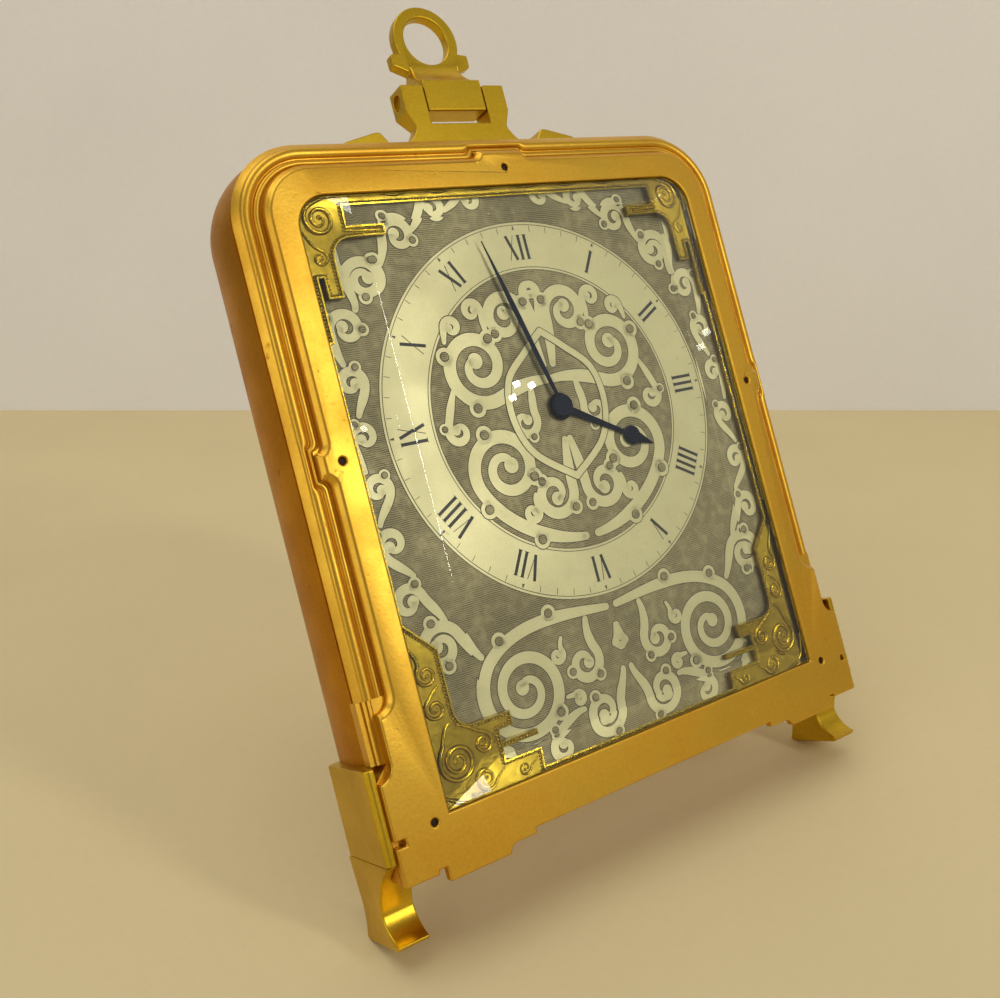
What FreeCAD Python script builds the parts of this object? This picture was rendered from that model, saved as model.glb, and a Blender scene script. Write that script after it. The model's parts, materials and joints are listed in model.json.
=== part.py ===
import FreeCAD, Part
import math
import os
import re

import Sketcher

# A strut clock: a flat gilt case that leans back on a hinged strut, with a thick bevelled
# glass, an engraved mask and dial, a lever movement behind them and a hinged ring on top.
# Everything is modelled upright, with the dial's centre at the origin: X to the right, Z up
# along the front plate, and depth measured back from the front plate's face along +Y.
# At the end every piece gets the stance, which leans the clock back onto its heels and strut.

SIZES = {
    # Stance, in degrees
    "lean_angle": 24.0,
    "strut_spread": 44.0,
    # Clearances
    "running_clear": 0.05,
    "glass_clear": 0.1,
    "swing_clear": 0.3,
    # Front plate: half width and top at its outer edge, before the bevel
    "plate_half": 41.0,
    "plate_top": 40.4,
    "plate_corner": 8.0,
    "plate_thick": 1.5,
    "plate_bevel": 0.8,
    "opening_half": 36.46,
    "opening_top": 35.63,
    "opening_low": 51.94,
    "opening_corner": 5.0,
    # Tabs of the front plate that run out over the mouldings
    "top_tab_half": 4.2,
    "top_tab_rise": 1.2,
    "side_tab_up": 0.2,
    "side_tab_low": 3.9,
    "side_tab_out": 1.3,
    # Steps of the plate's lower outline, depths below the dial's centre
    "step_one_low": 34.2,
    "step_one_out": 2.0,
    "step_two_low": 43.0,
    "step_two_out": 2.2,
    "plate_low": 59.3,
    "shoe_low": 60.8,
    "shoe_outer": 38.7,
    "shoe_inner": 28.7,
    "shoe_cove": 1.3,
    "notch_wide": 1.2,
    "notch_deep": 0.55,
    "rail_half": 24.0,
    "rail_low": 58.75,
    "rail_step_low": 59.6,
    "catch_low": 53.0,
    "catch_slot": 0.9,
    "catch_deep": 1.6,
    "pin_hole_radius": 0.55,
    "pin_inset": 2.1,
    "pin_top_inset": 1.9,
    "pin_middle": 1.9,
    "pin_low": 52.5,
    "pin_sink": 0.5,
    # Moulded frame under the plate: distances out from the plate's edge, then depths
    "bead_one_start": 0.25,
    "bead_one_end": 1.15,
    "bead_two_start": 1.35,
    "bead_two_end": 2.95,
    "bead_lip": 3.9,
    "bead_one_radius": 0.55,
    "bead_two_radius": 0.9,
    "bead_valley": 1.9,
    "bead_fall": 3.0,
    "frame_back": 4.5,
    "frame_inner": 3.1,
    "frame_low": 59.0,
    "frame_recess_low": 53.3,
    "break_floor": 2.6,
    "tab_rise_one": 0.9,
    "tab_rise_two": 0.6,
    "tab_front_one": 1.55,
    "tab_front_two": 2.0,
    "ledge_front": 2.2,
    "neck_rise_deep": 0.6,
    # Case band, back plate and floor of the case
    "band_neck": 3.4,
    "band_start": 3.6,
    "band_round": 16.4,
    "band_rear": 3.8,
    "band_top": 4.52,
    "band_inner": 2.9,
    "band_low": 43.0,
    "case_depth": 14.3,
    "back_thick": 1.0,
    "floor_low": 58.0,
    "floor_thick": 2.5,
    # Side blocks and feet
    "block_out": 46.7,
    "block_in": 41.2,
    "block_low": 56.2,
    "block_front": 0.9,
    "block_back": 14.9,
    "block_bevel": 0.6,
    "foot_out": 46.8,
    "foot_in": 41.8,
    "foot_waist_deep": 7.5,
    "foot_waist_low": 63.6,
    "toe_deep": 4.2,
    "toe_low": 67.6,
    "toe_lip": 0.7,
    "foot_scroll": 12.0,
    "toe_scroll": 4.5,
    "heel_deep": 15.5,
    "heel_low": 68.1,
    "rear_waist_deep": 14.1,
    "rear_waist_low": 62.2,
    "rear_scroll": 9.0,
    "heel_flat": 1.2,
    # Crest with its two knuckles and side wings
    "crest_front": 8.4,
    "crest_thick": 4.3,
    "knuckle_half": 9.8,
    "neck_half": 8.7,
    "crest_foot_half": 13.3,
    "crest_flare": 5.0,
    "slot_half": 5.7,
    "wing_gap": 0.6,
    "wing_nick": 0.4,
    "wing_peak_in": 15.5,
    "wing_peak_out": 16.4,
    "wing_step": 22.0,
    "wing_end": 31.6,
    # Suspension ring and its pin
    "ring_axis_deep": 10.9,
    "ring_pin_radius": 1.2,
    "ring_block_half": 5.5,
    "ring_block_slope": 2.0,
    "ring_front": 12.7,
    "ring_back": 14.7,
    "ring_outer": 6.0,
    "ring_hole": 4.1,
    "ring_neck_half": 4.6,
    "ring_cove": 6.5,
    "ear_half": 7.4,
    "ear_slope": 1.2,
    # Heights of the crest's and the ring's points above the top of the case
    "crest_foot_rise": 0.9,
    "neck_rise": 4.28,
    "slot_floor_rise": 4.88,
    "knuckle_low_rise": 7.08,
    "knuckle_top_rise": 11.38,
    "wing_tail_rise": 1.28,
    "wing_step_rise": 2.08,
    "wing_peak_rise": 3.53,
    "ring_axis_rise": 9.38,
    "ring_block_low_rise": 6.98,
    "ring_block_top_rise": 12.28,
    "ring_centre_rise": 21.28,
    "ear_low_rise": 16.78,
    "ear_top_rise": 18.88,
    # Glass, mask, dial
    "glass_crown": 0.8,
    "glass_edge_front": 0.45,
    "glass_back": 1.9,
    "glass_field_half": 27.6,
    "glass_field_top": 30.9,
    "glass_field_low": 47.3,
    "glass_field_round": 0.6,
    "mask_front": 2.0,
    "mask_back": 3.35,
    "mask_side": 0.95,
    "mask_low": 0.7,
    "mask_top": 1.5,
    # Arms of the mask's lower brackets: how far in from its side they end, and heights above its border
    "arm_long": 16.3,
    "arm_short": 12.6,
    "arm_notch": 10.1,
    "arm_one_top": 3.0,
    "arm_bar_low": 4.6,
    "arm_bar_top": 5.4,
    "arm_two_low": 7.2,
    "arm_two_top": 9.3,
    "bracket_wide": 4.2,
    "bracket_round": 2.6,
    "bracket_high": 20.8,
    "bracket_fade": 25.3,
    # Strips and tongues of the upper brackets: how far in from the side, and depths below the border
    "strip_one": 3.8,
    "strip_one_low": 13.1,
    "strip_slot": 1.5,
    "strip_slot_top": 10.0,
    "strip_two": 0.6,
    "strip_two_low": 19.5,
    "tongue_long": 12.5,
    "tongue_top": 2.9,
    "tongue_low": 4.5,
    "corner_wide": 6.8,
    "corner_cove": 3.2,
    "dial_front": 3.4,
    "dial_thick": 0.8,
    "dial_hole": 1.9,
    "dial_foot_radius": 0.7,
    "dial_foot_half": 28.0,
    "dial_foot_up": 24.0,
    "dial_foot_low": 28.0,
    # Hands
    "hour_hand_front": 2.85,
    "minute_hand_front": 2.35,
    "hand_thick": 0.15,
    "hour_length": 18.5,
    "hour_bulb": 14.2,
    "hour_bulb_radius": 1.6,
    "minute_length": 28.3,
    "minute_wide": 0.95,
    "hour_root_half": 0.7,
    "hour_neck_half": 0.3,
    "minute_root_half": 0.35,
    "hand_tip_half": 0.07,
    "bulb_share": 0.8,
    "belly_share": 0.62,
    "hand_boss": 2.2,
    "collet_front": 2.05,
    "collet_radius": 1.9,
    "collet_bevel": 0.18,
    "time_hours": 3,
    "time_minutes": 57.6,
    # Movement plates, pillars and posts
    "pillar_plate_front": 6.0,
    "pillar_plate_thick": 1.0,
    "pillar_plate_gap": 2.5,
    "pillar_plate_up": 30.0,
    "pillar_plate_low": 34.0,
    "top_plate_front": 10.4,
    "top_plate_thick": 0.8,
    "top_plate_half": 31.0,
    "top_plate_up": 24.0,
    "top_plate_low": 20.0,
    "plate_round": 3.0,
    "pillar_radius": 1.5,
    "pillar_inset": 2.8,
    "post_inset": 1.8,
    "post_radius": 1.5,
    "post_up": 26.0,
    "post_low": 30.0,
    "screw_radius": 0.6,
    "screw_head": 1.1,
    "screw_head_thick": 0.5,
    # Gear train: modules, teeth and where each arbor stands
    "barrel_module": 0.3,
    "barrel_teeth": 80,
    "barrel_right": -17.5,
    "barrel_up": 10.0,
    "inter_module": 0.25,
    "inter_teeth": 60,
    "inter_leaves": 10,
    "centre_module": 0.24,
    "centre_teeth": 60,
    "centre_leaves": 12,
    "third_module": 0.2,
    "third_teeth": 64,
    "third_leaves": 8,
    "third_angle": -60.0,
    "fourth_module": 0.18,
    "fourth_teeth": 60,
    "fourth_leaves": 8,
    "fourth_angle": -15.0,
    "escape_leaves": 6,
    "escape_teeth": 15,
    "escape_radius": 4.0,
    "escape_angle": 60.0,
    "lever_angle": 80.0,
    "lever_length": 6.0,
    "lever_hub": 0.5,
    "pallet_clear": 0.3,
    "wheel_thick": 0.4,
    "arbor_radius": 0.45,
    "pivot_radius": 0.2,
    "escape_arbor_radius": 0.3,
    "barrel_front": 7.25,
    "barrel_high": 1.95,
    "barrel_wall": 0.7,
    "barrel_flange": 0.6,
    "barrel_floor": 0.3,
    "barrel_cover_thick": 0.35,
    "barrel_arbor_radius": 1.4,
    "barrel_pivot": 1.1,
    "centre_pipe": 0.95,
    "square_side": 1.5,
    "front_level": 7.4,
    "middle_level": 8.3,
    "rear_level": 9.55,
    # Motion work behind the dial
    "minute_wheel_teeth": 36,
    "cannon_leaves": 12,
    "motion_distance": 6.0,
    "minute_leaves": 10,
    "hour_teeth": 40,
    "motion_angle": 225.0,
    "cannon_pipe": 1.0,
    "hour_pipe": 1.5,
    "set_arbor_radius": 0.5,
    "set_square": 0.7,
    "cannon_front": 5.3,
    "hour_wheel_front": 4.5,
    "minute_stud_radius": 0.5,
    # Balance, cock and hairspring
    "balance_radius": 6.2,
    "balance_rim": 0.8,
    "balance_front": 11.5,
    "balance_high": 0.3,
    "balance_neck": 0.3,
    "roller_radius": 1.0,
    "cock_front": 12.2,
    "cock_thick": 0.5,
    "cock_wide": 5.0,
    "spring_turns": 4,
    "hairspring_strip": 0.12,
    "mainspring_strip": 0.5,
    # Ratchet, click and shutter
    "ratchet_teeth": 24,
    "ratchet_module": 0.3,
    "ratchet_front": 11.4,
    "click_reach": 6.6,
    "click_angle": -50.0,
    "key_hole_radius": 1.9,
    "shutter_radius": 3.2,
    "shutter_reach": 7.0,
    "shutter_thick": 0.6,
    # Strut and its hinge
    "hinge_up": 18.0,
    "hinge_deep": 16.6,
    "hinge_barrel": 1.4,
    "hinge_pin_radius": 0.7,
    "hinge_half": 8.0,
    "leg_knuckle_half": 4.0,
    "leg_thick": 1.4,
    "leg_top_half": 6.0,
    "leg_waist_half": 3.6,
    "leg_foot_half": 8.0,
    "leg_foot_length": 14.0,
    "leg_flare": 16.0,
    "lug_plate_high": 10.0,
    "lug_plate_thick": 0.8,
    "nose_reach": 1.9,
}

# Sizes that follow from the ones above
DERIVED = {
    "heel_flat_deep": "heel_flat * cos(lean_angle * 1 deg)",
    "heel_flat_drop": "heel_flat * sin(lean_angle * 1 deg)",
    "hinge_height": "(hinge_up + heel_low) * cos(lean_angle * 1 deg)"
                    " + (heel_deep - hinge_deep) * sin(lean_angle * 1 deg)",
    "leg_length": "(hinge_height - leg_thick / 2) / cos((strut_spread - lean_angle) * 1 deg)",
    "nose_angle": "strut_spread + acos((hinge_deep - case_depth - lug_plate_thick - running_clear)"
                  " / nose_reach) / 1 deg",
    "nose_up": "nose_reach * sin(nose_angle * 1 deg)",
    "nose_forward": "nose_reach * cos(nose_angle * 1 deg)",
    "leg_half_thick": "leg_thick / 2",
    "pin_half": "plate_half - pin_inset",
    "pin_top": "plate_top - pin_top_inset",
    "pillar_plate_half": "plate_half + band_inner - pillar_plate_gap",
    "post_half": "pillar_plate_half - post_inset",
    "case_top": "plate_top + band_top",
}

RISING = ["crest_foot", "neck", "slot_floor", "knuckle_low", "knuckle_top", "wing_tail", "wing_step", "wing_peak",
          "ring_axis", "ring_block_low", "ring_block_top", "ring_centre", "ear_low", "ear_top"]
DERIVED.update({f"{name}_up": f"case_top + {name}_rise" for name in RISING})

doc = FreeCAD.newDocument("strut_clock")
sheet = doc.addObject("Spreadsheet::Sheet", "Sizes")
for row, (alias, value) in enumerate(SIZES.items(), start=1):
    sheet.set(f"A{row}", alias)
    sheet.set(f"B{row}", str(value))
    sheet.setAlias(f"B{row}", alias)
for row, (alias, text) in enumerate(DERIVED.items(), start=len(SIZES) + 1):
    sheet.set(f"A{row}", alias)
    sheet.set(f"B{row}", "=" + text)
    sheet.setAlias(f"B{row}", alias)
doc.recompute()

pieces = []
SIDES = {"left": -1, "right": 1}


# Sizes as numbers and as formulas

def terms(text):
    """Split a sum such as 'plate_top - glass_clear' into signs and words."""
    return [(sign or "+", word) for sign, word in re.findall(r"([+-]?)\s*([\w.]+)", text)]


def size(alias):
    """Read one size from the sheet."""
    value = sheet.get(alias)
    return float(getattr(value, "Value", value))


def number(text):
    """Work out a sum of sheet sizes and plain numbers."""
    total = 0.0
    for sign, word in terms(text):
        value = float(word) if word[0].isdigit() else size(word)
        total += value if sign == "+" else -value
    return total


def formula(text):
    """Write the same sum as an expression on the sheet."""
    parts = [sign + (word if word[0].isdigit() else "Sizes." + word) for sign, word in terms(text)]
    return "".join(parts).lstrip("+")


def minus(text):
    """Turn a sum's sign round."""
    return "".join({"+": "-", "-": "+"}[sign] + word for sign, word in terms(text))


# Bodies, sketches and features

def new_body(label):
    """Start a sub-part."""
    body = doc.addObject("PartDesign::Body", label)
    body.Label = label
    pieces.append(body)
    return body


def sketch_on(body, role, height="0"):
    """Attach a sketch to one of the body's origin planes, some height along its normal.

    On XZ_Plane the normal points out of the clock's face, so the height is minus the depth.
    """
    plane = next(item for item in body.Origin.OriginFeatures if item.Role == role)
    sketch = body.newObject("Sketcher::SketchObject", body.Label + "_sketch")
    sketch.AttachmentSupport = [(plane, "")]
    sketch.MapMode = "FlatFace"
    sketch.setExpression("AttachmentOffset.Base.z", formula(height))
    return sketch


def hold(sketch, index, end, x_text, y_text):
    """Fix a sketch point at its place with two dimensions from the sheet."""
    for kind, axis, text in (("DistanceX", -2, x_text), ("DistanceY", -1, y_text)):
        value = number(text)
        if abs(value) < 1e-9:
            sketch.addConstraint(Sketcher.Constraint("PointOnObject", index, end, axis))
            continue
        if value > 0:
            pair = (-1, 1, index, end)
        else:
            pair = (index, end, -1, 1)
        constraint = sketch.addConstraint(Sketcher.Constraint(kind, *pair, abs(value)))
        sketch.setExpression(f"Constraints[{constraint}]", formula(text if value > 0 else minus(text)))


def arc_between(start, end, radius, turn):
    """The short arc from start to end, as an arc that runs counter-clockwise."""
    chord = end - start
    left = FreeCAD.Vector(-chord.y, chord.x, 0).normalize()
    rise = math.sqrt(max(radius ** 2 - (chord.Length / 2) ** 2, 0))
    centre = (start + end) / 2 + left * (rise * turn)
    first, last = (start, end) if turn > 0 else (end, start)
    angles = [math.atan2(point.y - centre.y, point.x - centre.x) for point in (first, last)]
    circle = Part.Circle(centre, FreeCAD.Vector(0, 0, 1), radius)
    return Part.ArcOfCircle(circle, angles[0], angles[1])


def draw(sketch, outline, closed=True):
    """Draw an outline of points (x, y), each optionally with the radius and turn of an arc to it.

    A turn of 1 bends left and -1 bends right along the outline.
    """
    points = [FreeCAD.Vector(number(step[0]), number(step[1]), 0) for step in outline]
    count = len(outline)
    ends = []
    for index in range(count if closed else count - 1):
        step = outline[(index + 1) % count]
        start, end = points[index], points[(index + 1) % count]
        bend = len(step) == 4 and index + 1 < count
        if bend:
            edge = sketch.addGeometry(arc_between(start, end, number(step[2]), step[3]), False)
            constraint = sketch.addConstraint(Sketcher.Constraint("Radius", edge, number(step[2])))
            sketch.setExpression(f"Constraints[{constraint}]", formula(step[2]))
            ends.append((edge, 1, 2) if step[3] > 0 else (edge, 2, 1))
        else:
            edge = sketch.addGeometry(Part.LineSegment(start, end), False)
            ends.append((edge, 1, 2))
    for index, (edge, first, last) in enumerate(ends):
        hold(sketch, edge, first, *outline[index][:2])
        if index + 1 < len(ends) or closed:
            following = ends[(index + 1) % len(ends)]
            sketch.addConstraint(Sketcher.Constraint("Coincident", edge, last, following[0], following[1]))
        else:
            hold(sketch, edge, last, *outline[index + 1][:2])


def mirrored(outline):
    """The mirror image of an outline, listed backwards so that it turns the same way."""
    image = [(minus(outline[-1][0]), outline[-1][1])]
    for index in range(len(outline) - 1, 0, -1):
        image.append((minus(outline[index - 1][0]), outline[index - 1][1]) + tuple(outline[index][2:]))
    return image


def both_sides(half):
    """Close a right half, listed from the bottom up, with its mirror image."""
    return list(half) + mirrored(half)


def on_side(outline, sign):
    """The outline itself for the right side, or its mirror image for the left."""
    return outline if sign > 0 else mirrored(outline)


def draw_circle(sketch, x_text, y_text, radius):
    """Draw a circle held by its centre and radius."""
    centre = FreeCAD.Vector(number(x_text), number(y_text), 0)
    circle = Part.Circle(centre, FreeCAD.Vector(0, 0, 1), number(radius))
    edge = sketch.addGeometry(circle, False)
    hold(sketch, edge, 3, x_text, y_text)
    constraint = sketch.addConstraint(Sketcher.Constraint("Radius", edge, number(radius)))
    sketch.setExpression(f"Constraints[{constraint}]", formula(radius))


def pad(body, sketch, length, midplane=False):
    """Raise a sketch along its normal."""
    feature = body.newObject("PartDesign::Pad", body.Label + "_pad")
    feature.Profile = sketch
    feature.setExpression("Length", formula(length))
    feature.Midplane = midplane
    sketch.Visibility = False
    doc.recompute()
    return feature


def pocket(body, sketch, length="", midplane=False):
    """Cut a sketch away against its normal, or right through when no length is given."""
    before = body.Shape.Volume
    feature = body.newObject("PartDesign::Pocket", body.Label + "_pocket")
    feature.Profile = sketch
    if length:
        feature.setExpression("Length", formula(length))
    else:
        feature.Type = 1
    feature.Midplane = midplane
    sketch.Visibility = False
    doc.recompute()
    if not body.Shape.Volume < before - 1e-6:
        raise RuntimeError(f"{body.Label}: a pocket cut nothing")
    return feature


def chamfer(body, bevel, wanted):
    """Bevel the edges of the body's tip for which wanted(edge) is true."""
    base = body.Tip
    names = [f"Edge{n}" for n, edge in enumerate(base.Shape.Edges, start=1) if wanted(edge)]
    feature = body.newObject("PartDesign::Chamfer", body.Label + "_bevel")
    feature.Base = (base, names)
    feature.setExpression("Size", formula(bevel))
    doc.recompute()
    return feature


def plate(label, outline, front, thickness):
    """A flat piece that faces forward: its outline raised between two depths."""
    body = new_body(label)
    sketch = sketch_on(body, "XZ_Plane", minus(front) + minus(thickness))
    draw(sketch, outline)
    pad(body, sketch, thickness)
    return body


def cut_circles(body, places, radius, front, depth=""):
    """Cut round holes in from a depth, at the given places."""
    sketch = sketch_on(body, "XZ_Plane", minus(front))
    for x_text, y_text in places:
        draw_circle(sketch, x_text, y_text, radius)
    pocket(body, sketch, depth)


def rounded_box(half, top, low, corner):
    """A symmetric outline with two rounded top corners and sharp lower ones."""
    return both_sides([
        (half, minus(low)),
        (half, top + minus(corner)),
        (half + minus(corner), top, corner, 1),
    ])


def round_box(half, top, low, corner):
    """A symmetric outline with four rounded corners."""
    return both_sides([
        (half + minus(corner), minus(low)),
        (half, minus(low) + "+" + corner, corner, 1),
        (half, top + minus(corner)),
        (half + minus(corner), top, corner, 1),
    ])


# Solids made with Part's functions, for toothed and wound pieces and their arbors

def add_solid(label, shape):
    """Register a shape worked out in code as a sub-part."""
    feature = doc.addObject("Part::Feature", label)
    feature.Label = label
    feature.Shape = shape.removeSplitter() if shape.ShapeType == "Solid" else shape
    pieces.append(feature)
    return feature


def rod(radius, front, back, at=(0.0, 0.0)):
    """A round bar along the clock's depth."""
    base = FreeCAD.Vector(at[0], front, at[1])
    return Part.makeCylinder(radius, back - front, base, FreeCAD.Vector(0, 1, 0))


def square_bar(side, front, back, at=(0.0, 0.0)):
    """A square bar along the clock's depth."""
    corner = FreeCAD.Vector(at[0] - side / 2, front, at[1] - side / 2)
    return Part.makeBox(side, back - front, side, corner)


def prism(points, front, back):
    """A straight-sided solid from (x, z) points, between two depths."""
    corners = [FreeCAD.Vector(x, front, z) for x, z in points]
    face = Part.Face(Part.makePolygon(corners + corners[:1]))
    return face.extrude(FreeCAD.Vector(0, back - front, 0))


def polar(radius, angle, at=(0.0, 0.0)):
    """A point at a radius and an angle in radians, anticlockwise from the right."""
    return (at[0] + radius * math.cos(angle), at[1] + radius * math.sin(angle))


TOOTH_FOOT = 0.27
TOOTH_TIP = 0.10
ADDENDUM = 0.85
DEDENDUM = 1.2


def toothed(teeth, module, front, back, phase=0.0, at=(0.0, 0.0)):
    """A toothed disc whose first tooth points along the phase angle."""
    pitch = 2 * math.pi / teeth
    foot = module * (teeth / 2 - DEDENDUM)
    tip = module * (teeth / 2 + ADDENDUM)
    points = []
    for index in range(teeth):
        middle = phase + index * pitch
        for radius, share in ((foot, -TOOTH_FOOT), (tip, -TOOTH_TIP), (tip, TOOTH_TIP), (foot, TOOTH_FOOT)):
            points.append(polar(radius, middle + share * pitch, at))
    return prism(points, front, back)


def mesh_phase(driver_teeth, driver_phase, follower_teeth, direction):
    """The follower's phase that puts its gap on the driver's tooth, direction from the driver."""
    share = (driver_phase - direction) * driver_teeth / (2 * math.pi)
    return direction + math.pi + (0.5 - share) * 2 * math.pi / follower_teeth


def crossed(disc, spokes, inner, outer, spoke_wide, front, back, at):
    """Cut windows between the spokes of a wheel."""
    half = spoke_wide / 2
    for index in range(spokes):
        start = 2 * math.pi * index / spokes
        end = start + 2 * math.pi / spokes
        corners = []
        for radius, angle, side in ((inner, start, 1), (outer, start, 1), (outer, end, -1), (inner, end, -1)):
            lift = side * math.asin(min(half / radius, 1.0))
            corners.append((radius, angle + lift))
        vectors = [FreeCAD.Vector(x, front, z) for x, z in (polar(r, a, at) for r, a in corners)]
        middle = (start + end) / 2
        x, z = polar(outer, middle, at)
        rim = Part.Arc(vectors[1], FreeCAD.Vector(x, front, z), vectors[2]).toShape()
        x, z = polar(inner, middle, at)
        hub = Part.Arc(vectors[3], FreeCAD.Vector(x, front, z), vectors[0]).toShape()
        sides = [Part.LineSegment(vectors[0], vectors[1]).toShape(),
                 Part.LineSegment(vectors[2], vectors[3]).toShape()]
        window = Part.Face(Part.Wire([sides[0], rim, sides[1], hub]))
        disc = disc.cut(window.extrude(FreeCAD.Vector(0, back - front, 0)))
    return disc


def spiral_strip(start_radius, step, turns, strip, front, back, at, hub=0.0):
    """A flat spring: half-turn arcs that grow by one step each turn."""
    x0, z0 = at
    outer, inner = [], []
    radius = start_radius
    centre = x0
    for half in range(2 * turns):
        side = 1 if half % 2 == 0 else -1
        for edges, grow in ((outer, strip / 2), (inner, -strip / 2)):
            reach = radius + grow
            ends = [FreeCAD.Vector(centre + side * reach, front, z0),
                    FreeCAD.Vector(centre, front, z0 + side * reach),
                    FreeCAD.Vector(centre - side * reach, front, z0)]
            edges.append(Part.Arc(*ends).toShape())
        radius += step / 2
        centre += side * step / 2
    first = Part.LineSegment(inner[0].firstVertex().Point, outer[0].firstVertex().Point).toShape()
    last = Part.LineSegment(inner[-1].lastVertex().Point, outer[-1].lastVertex().Point).toShape()
    face = Part.Face(Part.Wire(Part.sortEdges(outer + inner + [first, last])[0]))
    spring = face.extrude(FreeCAD.Vector(0, back - front, 0))
    if hub:
        collar = rod(start_radius, front, back, at).cut(rod(hub, front, back, at))
        spring = spring.fuse(collar)
    return spring


# The case

def pin_places():
    """Where the five pins hold the front plate."""
    places = [("0", "pin_top")]
    for half in ("-pin_half", "pin_half"):
        places.append((half, "-pin_middle"))
        places.append((half, "-pin_low"))
    return places


def front_plate():
    """The thick gilt plate round the glass, with tabs that break the mouldings."""
    waist = "plate_half + step_one_out"
    hip = waist + " + step_two_out"
    half = [
        ("rail_half", "-rail_low"),
        ("rail_half", "-rail_step_low"),
        ("shoe_inner - shoe_cove", "-rail_step_low"),
        ("shoe_inner", "-shoe_low", "shoe_cove", -1),
        ("shoe_outer", "-shoe_low"),
        ("shoe_outer", "-plate_low + notch_deep"),
        ("shoe_outer + notch_wide", "-plate_low + notch_deep"),
        ("shoe_outer + notch_wide", "-plate_low"),
        (hip, "-plate_low"),
        (hip, "-catch_low - catch_slot"),
        (hip + " - catch_deep", "-catch_low - catch_slot"),
        (hip + " - catch_deep", "-catch_low"),
        (hip, "-catch_low"),
        (hip, "-step_two_low - step_two_out"),
        (waist, "-step_two_low", "step_two_out", -1),
        (waist, "-step_one_low - step_one_out"),
        ("plate_half", "-step_one_low", "step_one_out", -1),
        ("plate_half", "-side_tab_low - side_tab_out"),
        ("plate_half + side_tab_out", "-side_tab_low", "side_tab_out", -1),
        ("plate_half + side_tab_out", "-side_tab_up"),
        ("plate_half", "-side_tab_up + side_tab_out", "side_tab_out", -1),
        ("plate_half", "plate_top - plate_corner"),
        ("plate_half - plate_corner", "plate_top", "plate_corner", 1),
        ("top_tab_half + top_tab_rise", "plate_top"),
        ("top_tab_half", "plate_top + top_tab_rise", "top_tab_rise", -1),
    ]
    body = new_body("front_plate")
    sketch = sketch_on(body, "XZ_Plane", "-plate_thick")
    draw(sketch, both_sides(half))
    draw(sketch, rounded_box("opening_half", "opening_top", "opening_low", "opening_corner"))
    pad(body, sketch, "plate_thick")
    low = -size("step_one_low")
    reach = size("opening_half") + 1
    top = size("opening_top") + 1

    def upper_rim(edge):
        """True for the edges of the front face's outer rim above the lower steps."""
        on_face = all(abs(vertex.Y) < 1e-6 for vertex in edge.Vertexes)
        high = all(vertex.Z > low - 1e-6 for vertex in edge.Vertexes)
        outside = all(abs(vertex.X) > reach or vertex.Z > top for vertex in edge.Vertexes)
        return on_face and high and outside

    chamfer(body, "plate_bevel", upper_rim)
    cut_circles(body, pin_places(), "pin_hole_radius", "0")


def plate_pins():
    """Five pins that hold the plate to the frame, sunk below the face."""
    body = new_body("plate_pins")
    sketch = sketch_on(body, "XZ_Plane", "-frame_back")
    for x_text, y_text in pin_places():
        draw_circle(sketch, x_text, y_text, "pin_hole_radius")
    pad(body, sketch, "frame_back - pin_sink")


def u_path(half, top, low, corner):
    """An open path up one side, over the top and down the other."""
    return [
        (minus(half), minus(low)),
        (minus(half), top + minus(corner)),
        (minus(half) + "+" + corner, top, corner, -1),
        (half + minus(corner), top),
        (half, top + minus(corner), corner, -1),
        (half, minus(low)),
    ]


def sweep(body, outline, low):
    """Carry a section, given out from the plate's edge, round the sides and top of the case."""
    path = sketch_on(body, "XZ_Plane", "-plate_thick")
    draw(path, u_path("plate_half", "plate_top", low, "plate_corner"), closed=False)
    profile = sketch_on(body, "XY_Plane", minus(low))
    draw(profile, outline)
    feature = body.newObject("PartDesign::AdditivePipe", body.Label + "_sweep")
    feature.Profile = profile
    feature.Spine = (path, [f"Edge{n}" for n in range(1, path.GeometryCount + 1)])
    doc.recompute()


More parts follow.
